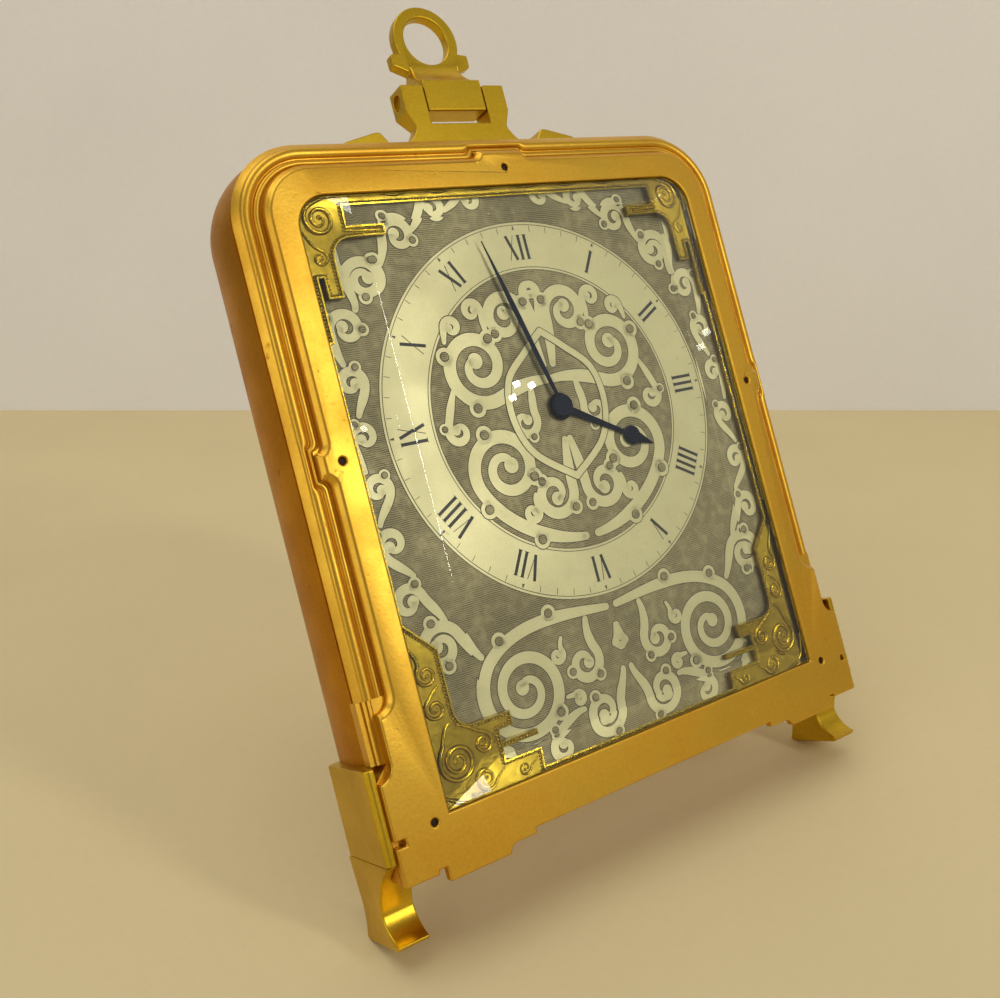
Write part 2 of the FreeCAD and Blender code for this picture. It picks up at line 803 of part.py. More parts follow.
def bead_frame():
    """The moulded frame under the plate: a beaded edge over a ledge that holds glass and dial."""
    body = new_body("bead_frame")
    sweep(body, [
        ("-plate_half + frame_inner", "plate_thick"),
        ("-plate_half + frame_inner", "frame_back"),
        ("-plate_half - band_neck", "frame_back"),
        ("-plate_half - band_neck", "bead_fall + neck_rise_deep"),
        ("-plate_half - bead_lip", "bead_fall"),
        ("-plate_half - bead_two_end", "bead_valley"),
        ("-plate_half - bead_two_start", "bead_valley", "bead_two_radius", 1),
        ("-plate_half - bead_one_end", "bead_valley"),
        ("-plate_half - bead_one_start", "bead_valley", "bead_one_radius", 1),
        ("-plate_half", "bead_valley"),
        ("-plate_half", "plate_thick"),
    ], "step_one_low")
    inner = "plate_half - frame_inner"
    waist = "plate_half + step_one_out"
    hip = waist + " + step_two_out"
    lower = sketch_on(body, "XZ_Plane", "-frame_back")
    draw(lower, both_sides([
        (hip, "-frame_low"),
        (hip, "-step_two_low - step_two_out"),
        (waist, "-step_two_low"),
        (waist, "-step_one_low"),
        (inner, "-step_one_low"),
        (inner, "-frame_recess_low"),
    ]))
    pad(body, lower, "frame_back - plate_thick")
    lip = "plate_half + bead_lip"
    ledge = sketch_on(body, "XZ_Plane", "-frame_back")
    for sign in (-1, 1):
        draw(ledge, on_side([
            ("plate_half", "-step_two_low"),
            (lip, "-step_two_low"),
            (lip, "-step_one_low"),
            ("plate_half", "-step_one_low"),
        ], sign))
    pad(body, ledge, "frame_back - ledge_front")
    breaks = sketch_on(body, "XZ_Plane", "-plate_thick + 1")
    edge = "plate_half + bead_two_end"
    for sign in (-1, 1):
        draw(breaks, on_side([
            ("plate_half - 0.5", "-side_tab_low"),
            (edge, "-side_tab_low"),
            (edge, "-side_tab_up"),
            ("plate_half - 0.5", "-side_tab_up"),
        ], sign))
    over = "plate_top + bead_two_end"
    draw(breaks, both_sides([("top_tab_half", "plate_top - 0.5"), ("top_tab_half", over)]))
    pocket(body, breaks, "break_floor - plate_thick + 1")
    for offset, rise, front in (("bead_one_end", "tab_rise_one", "tab_front_one"),
                                ("bead_two_end", "tab_rise_two", "tab_front_two")):
        step = sketch_on(body, "XZ_Plane", "-frame_back")
        for outline in tab_outlines(offset, rise):
            draw(step, outline)
        pad(body, step, "frame_back" + minus(front))
    cut_circles(body, pin_places(), "pin_hole_radius", "0")


def tab_outlines(offset, rise):
    """The outlines of the frame's tabs, some way out from the plate's edge, with coves at their ends."""
    inner = "plate_half" + minus("frame_inner") + " + 0.5"
    foot = "plate_half + " + offset
    edge = foot + " + " + rise
    side = [
        (inner, "-side_tab_low" + minus(rise)),
        (foot, "-side_tab_low" + minus(rise)),
        (edge, "-side_tab_low", rise, -1),
        (edge, "-side_tab_up"),
        (foot, "-side_tab_up + " + rise, rise, -1),
        (inner, "-side_tab_up + " + rise),
    ]
    top = both_sides([
        ("top_tab_half + " + rise, "plate_top - frame_inner + 0.5"),
        ("top_tab_half + " + rise, "plate_top + " + offset),
        ("top_tab_half", "plate_top + " + offset + " + " + rise, rise, -1),
    ])
    return [side, mirrored(side), top]


def case_band():
    """The rounded side wall of the case, over both sides and the top."""
    body = new_body("case_band")
    sweep(body, [
        ("-plate_half - band_inner", "frame_back"),
        ("-plate_half - band_inner", "case_depth"),
        ("-plate_half - band_rear", "case_depth"),
        ("-plate_half - band_start", "frame_back", "band_round", 1),
    ], "band_low")


def case_back():
    """The back plate, let into the band, with holes for winding and setting the hands."""
    wide = "plate_half + band_inner"
    body = plate("case_back", both_sides([
        ("block_in", "-floor_low"),
        ("block_in", "-band_low"),
        (wide, "-band_low"),
        (wide, "plate_top - plate_corner"),
        ("plate_half - plate_corner", "plate_top + band_inner", "plate_corner + band_inner", 1),
    ]), "case_depth - back_thick", "back_thick")
    front = "case_depth - back_thick"
    cut_circles(body, [("barrel_right", "barrel_up"), ("0", "0")], "key_hole_radius", front)
    cut_circles(body, post_places(), "screw_radius", front)


def case_floor():
    """The wall that closes the case below the movement."""
    body = new_body("case_floor")
    sketch = sketch_on(body, "XZ_Plane", "-case_depth + back_thick")
    draw(sketch, both_sides([("block_in", "-floor_low"), ("block_in", "-floor_low + floor_thick")]))
    pad(body, sketch, "case_depth - back_thick - frame_back")


def side_block(side):
    """A solid block beside the lower end of the case, which carries the foot."""
    sign = SIDES[side]
    body = new_body("side_block_" + side)
    sketch = sketch_on(body, "XY_Plane", "-block_low")
    step = "plate_half + step_one_out + step_two_out"
    outline = [
        ("block_in", "block_back"),
        ("block_in", "frame_back"),
        (step, "frame_back"),
        (step, "block_front"),
        ("block_out - block_bevel", "block_front"),
        ("block_out", "block_front + block_bevel"),
        ("block_out", "block_back - block_bevel"),
        ("block_out - block_bevel", "block_back"),
    ]
    draw(sketch, on_side(outline, sign))
    pad(body, sketch, "block_low - band_low")


def foot(side):
    """A scrolled foot: a concave front that runs out to a lipped toe, and a flat heel."""
    sign = SIDES[side]
    body = new_body("foot_" + side)
    sketch = sketch_on(body, "YZ_Plane", "foot_in" if sign > 0 else "-foot_out")
    draw(sketch, [
        ("block_front", "-block_low"),
        ("foot_waist_deep", "-foot_waist_low", "foot_scroll", -1),
        ("toe_deep", "-toe_low", "toe_scroll", -1),
        ("toe_deep + toe_lip", "-toe_low - toe_lip"),
        ("heel_deep - heel_flat_deep", "-heel_low - heel_flat_drop"),
        ("heel_deep", "-heel_low"),
        ("rear_waist_deep", "-rear_waist_low", "rear_scroll", -1),
        ("block_back", "-block_low"),
    ])
    pad(body, sketch, "foot_out - foot_in")
    notch = sketch_on(body, "XZ_Plane", "-block_front + 1")
    step = "plate_half + step_one_out + step_two_out"
    draw(notch, on_side([
        ("foot_in - 1", "-plate_low"),
        (step, "-plate_low"),
        (step, "-block_low + 1"),
        ("foot_in - 1", "-block_low + 1"),
    ], sign))
    pocket(body, notch, "frame_back - block_front + 1")


def crest_plate():
    """The crest on top of the case: two knuckles for the ring's pin, a flared foot and wings."""
    gap = "crest_foot_half + wing_gap"
    body = plate("crest_plate", both_sides([
        ("wing_end", "case_top"),
        ("wing_step + wing_nick", "wing_tail_up"),
        ("wing_step", "wing_step_up"),
        ("wing_peak_out", "wing_peak_up"),
        ("wing_peak_in", "wing_peak_up"),
        (gap, "crest_foot_up + wing_nick"),
        (gap, "crest_foot_up - wing_nick"),
        ("crest_foot_half", "crest_foot_up - wing_nick"),
        ("crest_foot_half", "crest_foot_up"),
        ("neck_half", "neck_up", "crest_flare", -1),
        ("knuckle_half", "knuckle_low_up"),
        ("knuckle_half", "knuckle_top_up"),
        ("slot_half", "knuckle_top_up"),
        ("slot_half", "slot_floor_up"),
    ]), "crest_front", "crest_thick")
    bore = sketch_on(body, "YZ_Plane")
    draw_circle(bore, "ring_axis_deep", "ring_axis_up", "ring_pin_radius")
    pocket(body, bore, "knuckle_half + knuckle_half", midplane=True)
    corner = sketch_on(body, "YZ_Plane")
    rear = "crest_front + crest_thick"
    draw(corner, [
        (rear, "crest_foot_up"),
        (rear + " + 1", "crest_foot_up"),
        (rear + " + 1", "ring_axis_up"),
        (rear, "knuckle_low_up"),
        ("ring_axis_deep", "neck_up"),
    ])
    pocket(body, corner, "crest_foot_half + crest_foot_half", midplane=True)


def suspension_ring():
    """The ring with its hinged block: a cove leads from the block's face back to the bow."""
    body = new_body("suspension_ring")
    block = sketch_on(body, "YZ_Plane")
    draw(block, [
        ("crest_front", "ring_block_low_up"),
        ("crest_front + crest_thick", "ring_block_low_up"),
        ("ring_back", "ring_block_low_up + ring_block_slope"),
        ("ring_back", "ring_centre_up - ring_hole"),
        ("ring_front", "ring_centre_up - ring_hole"),
        ("crest_front", "ring_block_top_up", "ring_cove", -1),
    ])
    pad(body, block, "ring_block_half + ring_block_half", midplane=True)
    trim = sketch_on(body, "XZ_Plane", "0")
    for sign in (-1, 1):
        draw(trim, on_side([
            ("ring_neck_half", "ring_centre_up"),
            ("ring_neck_half", "ear_low_up - ear_slope"),
            ("ring_block_half", "ring_block_top_up"),
            ("ring_block_half + 1", "ring_block_top_up"),
            ("ring_block_half + 1", "ring_centre_up"),
        ], sign))
    pocket(body, trim, "ring_back + 1")
    bow = sketch_on(body, "XZ_Plane", "-ring_back")
    draw_circle(bow, "0", "ring_centre_up", "ring_outer")
    pad(body, bow, "ring_back - ring_front")
    ears = sketch_on(body, "XZ_Plane", "-ring_back")
    draw(ears, both_sides([
        ("ring_neck_half", "ear_low_up - ear_slope"),
        ("ear_half", "ear_low_up"),
        ("ear_half", "ear_top_up"),
        ("ring_neck_half", "ear_top_up + wing_nick"),
    ]))
    pad(body, ears, "ring_back - ring_front")
    hole = sketch_on(body, "XZ_Plane", "0")
    draw_circle(hole, "0", "ring_centre_up", "ring_hole")
    pocket(body, hole, "ring_back + 1")
    bore = sketch_on(body, "YZ_Plane")
    draw_circle(bore, "ring_axis_deep", "ring_axis_up", "ring_pin_radius + running_clear")
    pocket(body, bore, "ring_block_half + ring_block_half + 1", midplane=True)


def ring_pin():
    """The pin through both knuckles, a little short of their outer faces."""
    body = new_body("ring_pin")
    sketch = sketch_on(body, "YZ_Plane")
    draw_circle(sketch, "ring_axis_deep", "ring_axis_up", "ring_pin_radius")
    pad(body, sketch, "knuckle_half + knuckle_half - ring_pin_radius", midplane=True)


# Glass, mask and dial

def rim(clear):
    """The outline of what lies in the frame's recess, in from its wall by a clearance."""
    return rounded_box(
        "plate_half - frame_inner" + minus(clear),
        "plate_top - frame_inner" + minus(clear),
        "frame_recess_low" + minus(clear),
        "plate_corner - frame_inner" + minus(clear),
    )


def glass():
    """Thick glass: a flat middle, wide bevels, a shoulder in the opening and a rim held behind the plate."""
    body = new_body("glass")
    edge = sketch_on(body, "XZ_Plane", "-glass_back")
    draw(edge, rim("glass_clear"))
    pad(body, edge, "glass_back - plate_thick - running_clear")
    clear = minus("glass_clear")
    outline = rounded_box(
        "opening_half" + clear, "opening_top" + clear, "opening_low" + clear, "opening_corner" + clear)
    shoulder = sketch_on(body, "XZ_Plane", "-plate_thick - running_clear")
    draw(shoulder, outline)
    pad(body, shoulder, "plate_thick + running_clear - glass_edge_front")
    foot_of_bevel = sketch_on(body, "XZ_Plane", "-glass_edge_front")
    draw(foot_of_bevel, outline)
    field = sketch_on(body, "XZ_Plane", "glass_crown")
    draw(field, rounded_box("glass_field_half", "glass_field_top", "glass_field_low", "glass_field_round"))
    bevel = body.newObject("PartDesign::AdditiveLoft", "glass_bevel")
    bevel.Profile = foot_of_bevel
    bevel.Sections = [field]
    bevel.Ruled = True
    doc.recompute()


def gilt_mask():
    """The gilt mask under the glass: a narrow border with stepped brackets in the corners."""
    side = "opening_half - mask_side"
    low = "-opening_low + mask_low + "
    top = "opening_top - mask_top"

    def inward(amount):
        """A distance in from the border's side edge."""
        return side + minus(amount)

    body = new_body("gilt_mask")
    sketch = sketch_on(body, "XZ_Plane", "-mask_back")
    draw(sketch, rim("glass_clear"))
    draw(sketch, both_sides([
        (inward("arm_long"), low + "0"),
        (inward("arm_long"), low + "arm_one_top"),
        (inward("arm_notch"), low + "arm_one_top"),
        (inward("arm_notch"), low + "arm_bar_low"),
        (inward("arm_long"), low + "arm_bar_low"),
        (inward("arm_long"), low + "arm_bar_top"),
        (inward("arm_notch"), low + "arm_bar_top"),
        (inward("arm_notch"), low + "arm_two_low"),
        (inward("arm_short"), low + "arm_two_low"),
        (inward("arm_short"), low + "arm_two_top"),
        (inward("bracket_wide + bracket_round"), low + "arm_two_top"),
        (inward("bracket_wide"), low + "arm_two_top + bracket_round", "bracket_round", 1),
        (inward("bracket_wide"), low + "bracket_high"),
        (side, low + "bracket_fade"),
        (side, top + minus("strip_two_low")),
        (inward("strip_two"), top + minus("strip_two_low")),
        (inward("strip_two"), top + minus("strip_slot_top")),
        (inward("strip_slot"), top + minus("strip_slot_top")),
        (inward("strip_slot"), top + minus("strip_one_low")),
        (inward("strip_one"), top + minus("strip_one_low")),
        (inward("strip_one"), top + minus("tongue_low + corner_cove")),
        (inward("corner_wide"), top + minus("tongue_low"), "corner_cove", 1),
        (inward("tongue_long"), top + minus("tongue_low")),
        (inward("tongue_long"), top + minus("tongue_top")),
        (inward("corner_wide"), top + minus("tongue_top")),
        (inward("corner_wide"), top),
    ]))
    pad(body, sketch, "mask_back - mask_front")


def dial():
    """The silvered dial plate, with a hole for the hands."""
    body = plate("dial", rim("glass_clear"), "dial_front", "dial_thick")
    cut_circles(body, [("0", "0")], "dial_hole", "dial_front")


def dial_feet():
    """Four feet that pin the dial to the movement's front plate."""
    body = new_body("dial_feet")
    sketch = sketch_on(body, "XZ_Plane", "-pillar_plate_front - pillar_plate_thick")
    for x_text, y_text in dial_foot_places():
        draw_circle(sketch, x_text, y_text, "dial_foot_radius")
    pad(body, sketch, "pillar_plate_front + pillar_plate_thick - dial_front - dial_thick")


def dial_foot_places():
    """Where the dial's feet stand."""
    return [(half, up) for half in ("-dial_foot_half", "dial_foot_half") for up in ("dial_foot_up", "-dial_foot_low")]


# Hands

def bar(start, end, start_half, end_half, front, back):
    """A tapered bar between two (x, z) points."""
    dx, dz = end[0] - start[0], end[1] - start[1]
    length = math.hypot(dx, dz)
    nx, nz = -dz / length, dx / length
    points = [
        (start[0] + nx * start_half, start[1] + nz * start_half),
        (start[0] - nx * start_half, start[1] - nz * start_half),
        (end[0] - nx * end_half, end[1] - nz * end_half),
        (end[0] + nx * end_half, end[1] + nz * end_half),
    ]
    return prism(points, front, back)


def joined(shapes):
    """Fuse a list of solids and merge their shared faces."""
    return shapes[0].multiFuse(shapes[1:]).removeSplitter()


def hands():
    """Blued hands: a pear-tipped hour hand, a lance-shaped minute hand and a domed collet."""
    boss = size("hand_boss")
    minute = math.radians(90 - 6 * size("time_minutes"))
    hour = math.radians(90 - 30 * size("time_hours") - size("time_minutes") / 2)
    front = size("hour_hand_front")
    back = front + size("hand_thick")
    bulb = polar(size("hour_bulb"), hour)
    tip = polar(size("hour_length"), hour)
    radius = size("hour_bulb_radius")
    shape = joined([
        rod(boss, front, back),
        bar((0, 0), bulb, size("hour_root_half"), size("hour_neck_half"), front, back),
        rod(radius, front, back, bulb),
        bar(bulb, tip, radius * size("bulb_share"), size("hand_tip_half"), front, back),
    ])
    add_solid("hour_hand", shape.cut(rod(size("hour_pipe"), front, back)))
    front = size("minute_hand_front")
    back = front + size("hand_thick")
    length = size("minute_length")
    half = size("minute_wide") / 2
    belly = polar(size("belly_share") * length, minute)
    shape = joined([
        rod(size("collet_radius"), front, back),
        bar((0, 0), belly, size("minute_root_half"), half, front, back),
        bar(belly, polar(length, minute), half, size("hand_tip_half"), front, back),
    ])
    add_solid("minute_hand", shape.cut(rod(size("cannon_pipe"), front, back)))
    collet_front = size("collet_front")
    dome = rod(size("collet_radius"), collet_front, front)
    add_solid("hand_collet", dome.makeChamfer(size("collet_bevel"), [dome.Edges[index] for index in front_rim(dome)]))


def front_rim(disc):
    """The index of a disc's circular edge nearest the viewer."""
    circles = [index for index, edge in enumerate(disc.Edges) if len(edge.Vertexes) == 1]
    return [min(circles, key=lambda index: disc.Edges[index].CenterOfMass.y)]


# Movement plates and what holds them

def post_places():
    """Where the four posts stand that carry the movement."""
    return [(half, up) for half in ("-post_half", "post_half") for up in ("post_up", "-post_low")]


def pillar_places():
    """Where the four pillars stand between the movement plates."""
    side = "top_plate_half - pillar_inset"
    ups = ("top_plate_up - pillar_inset", "-top_plate_low + pillar_inset")
    return [(half, up) for half in (minus(side), side) for up in ups]


def circle_distance(first, second, first_radius, second_radius):
    """The crossing point of two circles that lies on the left of the line between their centres."""
    dx, dz = second[0] - first[0], second[1] - first[1]
    span = math.hypot(dx, dz)
    along = (first_radius ** 2 - second_radius ** 2 + span ** 2) / (2 * span)
    across = math.sqrt(first_radius ** 2 - along ** 2)
    return (first[0] + (along * dx - across * dz) / span, first[1] + (along * dz + across * dx) / span)


def gear_distance(module, teeth, leaves):
    """The distance between the arbors of a meshing pair."""
    return size(module) * (size(teeth) + size(leaves)) / 2


def arbor_places():
    """Where every arbor stands, seen from the front, worked out from the gears' sizes."""
    places = {"centre": (0.0, 0.0), "barrel": (size("barrel_right"), size("barrel_up"))}
    places["inter"] = circle_distance(
        places["barrel"], places["centre"],
        gear_distance("barrel_module", "barrel_teeth", "inter_leaves"),
        gear_distance("inter_module", "inter_teeth", "centre_leaves"))
    places["third"] = polar(gear_distance("centre_module", "centre_teeth", "third_leaves"),
                            math.radians(size("third_angle")))
    places["fourth"] = polar(gear_distance("third_module", "third_teeth", "fourth_leaves"),
                             math.radians(size("fourth_angle")), places["third"])
    places["escape"] = polar(gear_distance("fourth_module", "fourth_teeth", "escape_leaves"),
                             math.radians(size("escape_angle")), places["fourth"])
    line = math.radians(size("lever_angle"))
    places["lever"] = polar(size("escape_radius") / math.cos(math.radians(30)), line, places["escape"])
    places["balance"] = polar(size("lever_length"), line, places["lever"])
    places["minute"] = polar(size("motion_distance"), math.radians(size("motion_angle")))
    return places


def heading(start, end):
    """The angle from one place to another."""
    return math.atan2(end[1] - start[1], end[0] - start[0])


def drill(body, places, radius, front, depth=""):
    """Cut round holes at places worked out as numbers."""
    cut_circles(body, [(f"{x:.6f}", f"{z:.6f}") for x, z in places], radius, front, depth)


def movement_plates(at):
    """The front and back plates of the movement, with bearing holes."""
    small = [at[name] for name in ("inter", "third", "fourth", "escape", "lever")]
    front = plate("pillar_plate", round_box(
        "pillar_plate_half", "pillar_plate_up", "pillar_plate_low", "plate_round"),
        "pillar_plate_front", "pillar_plate_thick")
    back = plate("top_plate", round_box(
        "top_plate_half", "top_plate_up", "top_plate_low", "plate_round"),
        "top_plate_front", "top_plate_thick")
    for body, depth in ((front, "pillar_plate_front"), (back, "top_plate_front")):
        drill(body, small, "pivot_radius + running_clear", depth)
        drill(body, [at["centre"]], "centre_pipe + running_clear", depth)
        drill(body, [at["barrel"]], "barrel_pivot + running_clear", depth)
    drill(front, [at["balance"]], "pivot_radius + running_clear", "pillar_plate_front")
    drill(back, [at["balance"]], "balance_neck + running_clear", "top_plate_front")
    cut_circles(front, post_places(), "screw_radius", "pillar_plate_front")
    cut_circles(front, dial_foot_places(), "dial_foot_radius", "pillar_plate_front")
    cut_circles(back, pillar_places(), "screw_radius", "top_plate_front")


def posts_and_screws():
    """Pillars, posts and standoffs, and the screws that go into them."""
    pillar_back = "pillar_plate_front + pillar_plate_thick"
    top_back = "top_plate_front + top_plate_thick"
    inner = "case_depth - back_thick"
    round_bars("pillars", pillar_places(), "pillar_radius", pillar_back, "top_plate_front")
    round_bars("front_posts", post_places(), "post_radius", "frame_back", "pillar_plate_front")
    round_bars("standoffs", post_places(), "post_radius", pillar_back, inner)
    headed_screws("plate_screws", pillar_places(), top_back, "top_plate_thick")
    headed_screws("case_screws", post_places(), "case_depth", "back_thick")


def round_bars(label, places, radius, front, back):
    """A group of equal round bars between two depths."""
    body = new_body(label)
    sketch = sketch_on(body, "XZ_Plane", minus(back))
    for x_text, y_text in places:
        draw_circle(sketch, x_text, y_text, radius)
    pad(body, sketch, back + minus(front))


def headed_screws(label, places, seat, grip):
    """A group of equal screws whose heads stand on a seat and whose shanks reach forward."""
    heads = []
    for x_text, y_text in places:
        at = (number(x_text), number(y_text))
        heads.append(screw(at, number(seat), number(grip)))
    add_solid(label, Part.makeCompound(heads))


def screw(at, seat, grip):
    """A slotted screw with a flat head behind its seat."""
    head_back = seat + size("screw_head_thick")
    shape = rod(size("screw_radius"), seat - grip, seat, at).fuse(
        rod(size("screw_head"), seat, head_back, at))
    slot = size("screw_head_thick") / 2
    groove = Part.makeBox(2 * size("screw_head"), slot, slot, FreeCAD.Vector(
        at[0] - size("screw_head"), head_back - slot, at[1] - slot / 2))
    return shape.cut(groove).removeSplitter()


# Going train

def between_plates(at, radius):
    """A plain arbor between the movement plates, with a pivot at each end."""
    front = size("pillar_plate_front") + size("pillar_plate_thick") + size("running_clear")
    back = size("top_plate_front") - size("running_clear")
    shaft = rod(radius, front, back, at)
    pivot = size("pillar_plate_thick") * 0.6
    return shaft.fuse(rod(size("pivot_radius"), front - pivot, back + pivot, at))


def wheel(label, teeth, module, level, at, hub, spokes=4):
    """A crossed wheel fixed on its arbor."""
    count = int(size(teeth))
    front = size(level)
    back = front + size("wheel_thick")
    disc = toothed(count, size(module), front, back, 0.0, at)
    rim_inner = size(module) * (count / 2 - DEDENDUM) - 0.7
    disc = crossed(disc, spokes, hub + 0.9, rim_inner, 0.8, front, back, at)
    add_solid(label, disc.cut(rod(hub, front, back, at)))


def pinion_arbor(label, at, leaves, module, phase, front, back, radius):
    """An arbor with the pinion cut on it."""
    leafed = toothed(int(size(leaves)), size(module), front, back, phase, at)
    add_solid(label, joined([between_plates(at, radius), leafed]))


def going_train(at):
    """Wheels and pinions from the barrel to the escape wheel, in mesh at rest."""
    front, middle, rear = size("front_level"), size("middle_level"), size("rear_level")
    thick = size("wheel_thick")
    margin = 0.15
    hub = size("arbor_radius")
    flange = size("barrel_front")
    wheel("intermediate_wheel", "inter_teeth", "inter_module", "rear_level", at["inter"], hub)
    phase = mesh_phase(size("barrel_teeth"), 0.0, size("inter_leaves"), heading(at["barrel"], at["inter"]))
    pinion_arbor("intermediate_arbor", at["inter"], "inter_leaves", "barrel_module", phase,
                 flange - 0.1, flange + size("barrel_flange") + margin, hub)
    wheel("third_wheel", "third_teeth", "third_module", "middle_level", at["third"], hub)
    phase = mesh_phase(size("centre_teeth"), 0.0, size("third_leaves"), heading(at["centre"], at["third"]))
    pinion_arbor("third_arbor", at["third"], "third_leaves", "centre_module", phase,
                 front - margin, front + thick + margin, hub)
    wheel("fourth_wheel", "fourth_teeth", "fourth_module", "rear_level", at["fourth"], hub)
    phase = mesh_phase(size("third_teeth"), 0.0, size("fourth_leaves"), heading(at["third"], at["fourth"]))
    pinion_arbor("fourth_arbor", at["fourth"], "fourth_leaves", "third_module", phase,
                 middle - margin, middle + thick + margin, hub)
    phase = mesh_phase(size("fourth_teeth"), 0.0, size("escape_leaves"), heading(at["fourth"], at["escape"]))
    pinion_arbor("escape_arbor", at["escape"], "escape_leaves", "fourth_module", phase,
                 rear - margin, rear + thick + margin, size("escape_arbor_radius"))
    centre_group(at)
    escape_wheel(at["escape"])


def centre_group(at):
    """The centre wheel on its hollow arbor, through which the hand-setting arbor passes."""
    pipe = size("centre_pipe")
    bore = size("set_arbor_radius") + size("running_clear")
    rear = size("rear_level")
    wheel("centre_wheel", "centre_teeth", "centre_module", "front_level", at["centre"], pipe)
    phase = mesh_phase(size("inter_teeth"), 0.0, size("centre_leaves"), heading(at["inter"], at["centre"]))
    leafed = toothed(int(size("centre_leaves")), size("inter_module"), rear - 0.15,
                     rear + size("wheel_thick") + 0.15, phase)
    ends = size("pillar_plate_front"), size("top_plate_front") + size("top_plate_thick")
    shape = joined([rod(pipe, *ends), leafed])
    add_solid("centre_arbor", shape.cut(rod(bore, ends[0] - 1, ends[1] + 1)))


def escape_wheel(at):
    """The escape wheel, with raked teeth."""
    teeth = int(size("escape_teeth"))
    pitch = 2 * math.pi / teeth
    tip = size("escape_radius")
    foot = tip * 0.74
    front = size("front_level") + 0.1
    back = front + size("wheel_thick")
    points = []
    for index in range(teeth):
        start = index * pitch
        points.append(polar(foot, start, at))
        points.append(polar(foot, start + 0.62 * pitch, at))
        points.append(polar(tip, start + 0.9 * pitch, at))
        points.append(polar(tip, start + pitch, at))
    hub = size("escape_arbor_radius")
    disc = crossed(prism(points, front, back), 4, hub + 0.6, foot - 0.5, 0.5, front, back, at)
    add_solid("escape_wheel", disc.cut(rod(hub, front, back, at)))


def barrel(at):
    """The going barrel: toothed flange and drum, cover, mainspring, and the arbor that winds it."""
    front = size("barrel_front")
    flange_back = front + size("barrel_flange")
    back = front + size("barrel_high")
    module = size("barrel_module")
    teeth = int(size("barrel_teeth"))
    drum = module * (teeth / 2 - DEDENDUM) - 0.3
    hollow = drum - size("barrel_wall")
    bore = size("barrel_arbor_radius") + size("running_clear")
    cover = size("barrel_cover_thick")
    shape = joined([toothed(teeth, module, front, flange_back, 0.0, at), rod(drum, front, back, at)])
    shape = shape.cut(rod(hollow, front + size("barrel_floor"), back + 1, at))
    add_solid("barrel", shape.cut(rod(bore, front - 1, back, at)))
    add_solid("barrel_cover", rod(hollow, back - cover, back, at).cut(rod(bore, back - cover, back, at)))
    strip = size("mainspring_strip")
    turns = int(size("spring_turns"))
    inner = bore + strip
    step = (hollow - inner - strip) / turns
    add_solid("mainspring", spiral_strip(
        inner, step, turns, strip, front + size("barrel_floor") + 0.1, back - cover - 0.1, at))
    arbor_front = size("pillar_plate_front") + size("pillar_plate_thick") + size("running_clear")
    arbor_back = size("top_plate_front") - size("running_clear")
    square_front = size("top_plate_front") + size("top_plate_thick") + 0.1
    pivot = size("barrel_pivot")
    shaft = joined([
        rod(size("barrel_arbor_radius"), arbor_front, arbor_back, at),
        rod(pivot, size("pillar_plate_front"), square_front, at),
        square_bar(size("square_side"), square_front, size("case_depth") - 0.6, at),
    ])
    add_solid("barrel_arbor", shaft)


def ratchet_and_click(at):
    """The ratchet wheel on the barrel arbor's square, its click and the click's spring."""
    front = size("ratchet_front")
    back = front + size("wheel_thick")
    teeth = int(size("ratchet_teeth"))
    pitch = 2 * math.pi / teeth
    tip = size("ratchet_module") * (teeth / 2 + ADDENDUM)
    foot = size("ratchet_module") * (teeth / 2 - ADDENDUM)
    points = []
    for index in range(teeth):
        points.append(polar(foot, index * pitch, at))
        points.append(polar(tip, index * pitch, at))
    disc = prism(points, front, back)
    add_solid("ratchet_wheel", disc.cut(square_bar(size("square_side"), front, back, at)))
    angle = math.radians(size("click_angle"))
    half = 0.35
    pivot = polar(size("click_reach"), angle, at)
    beak = polar(tip + half + size("swing_clear"), angle + math.radians(45), at)
    click = joined([rod(1.1, front, back, pivot), bar(pivot, beak, half, half, front, back)])
    add_solid("click", click.cut(rod(size("screw_radius") + size("running_clear"), front, back, pivot)))
    ahead = heading(pivot, beak)
    side = ahead - math.pi / 2
    touch = polar(1.15 + size("swing_clear") + 0.2, side, polar(0.4, ahead, pivot))
    root = polar(3.4, ahead + math.pi, touch)
    spring = joined([bar(root, touch, 0.2, 0.15, front, back), rod(1.1, front, back, root)])
    add_solid("click_spring", spring.cut(rod(size("screw_radius"), front, back, root)))
    return pivot, root


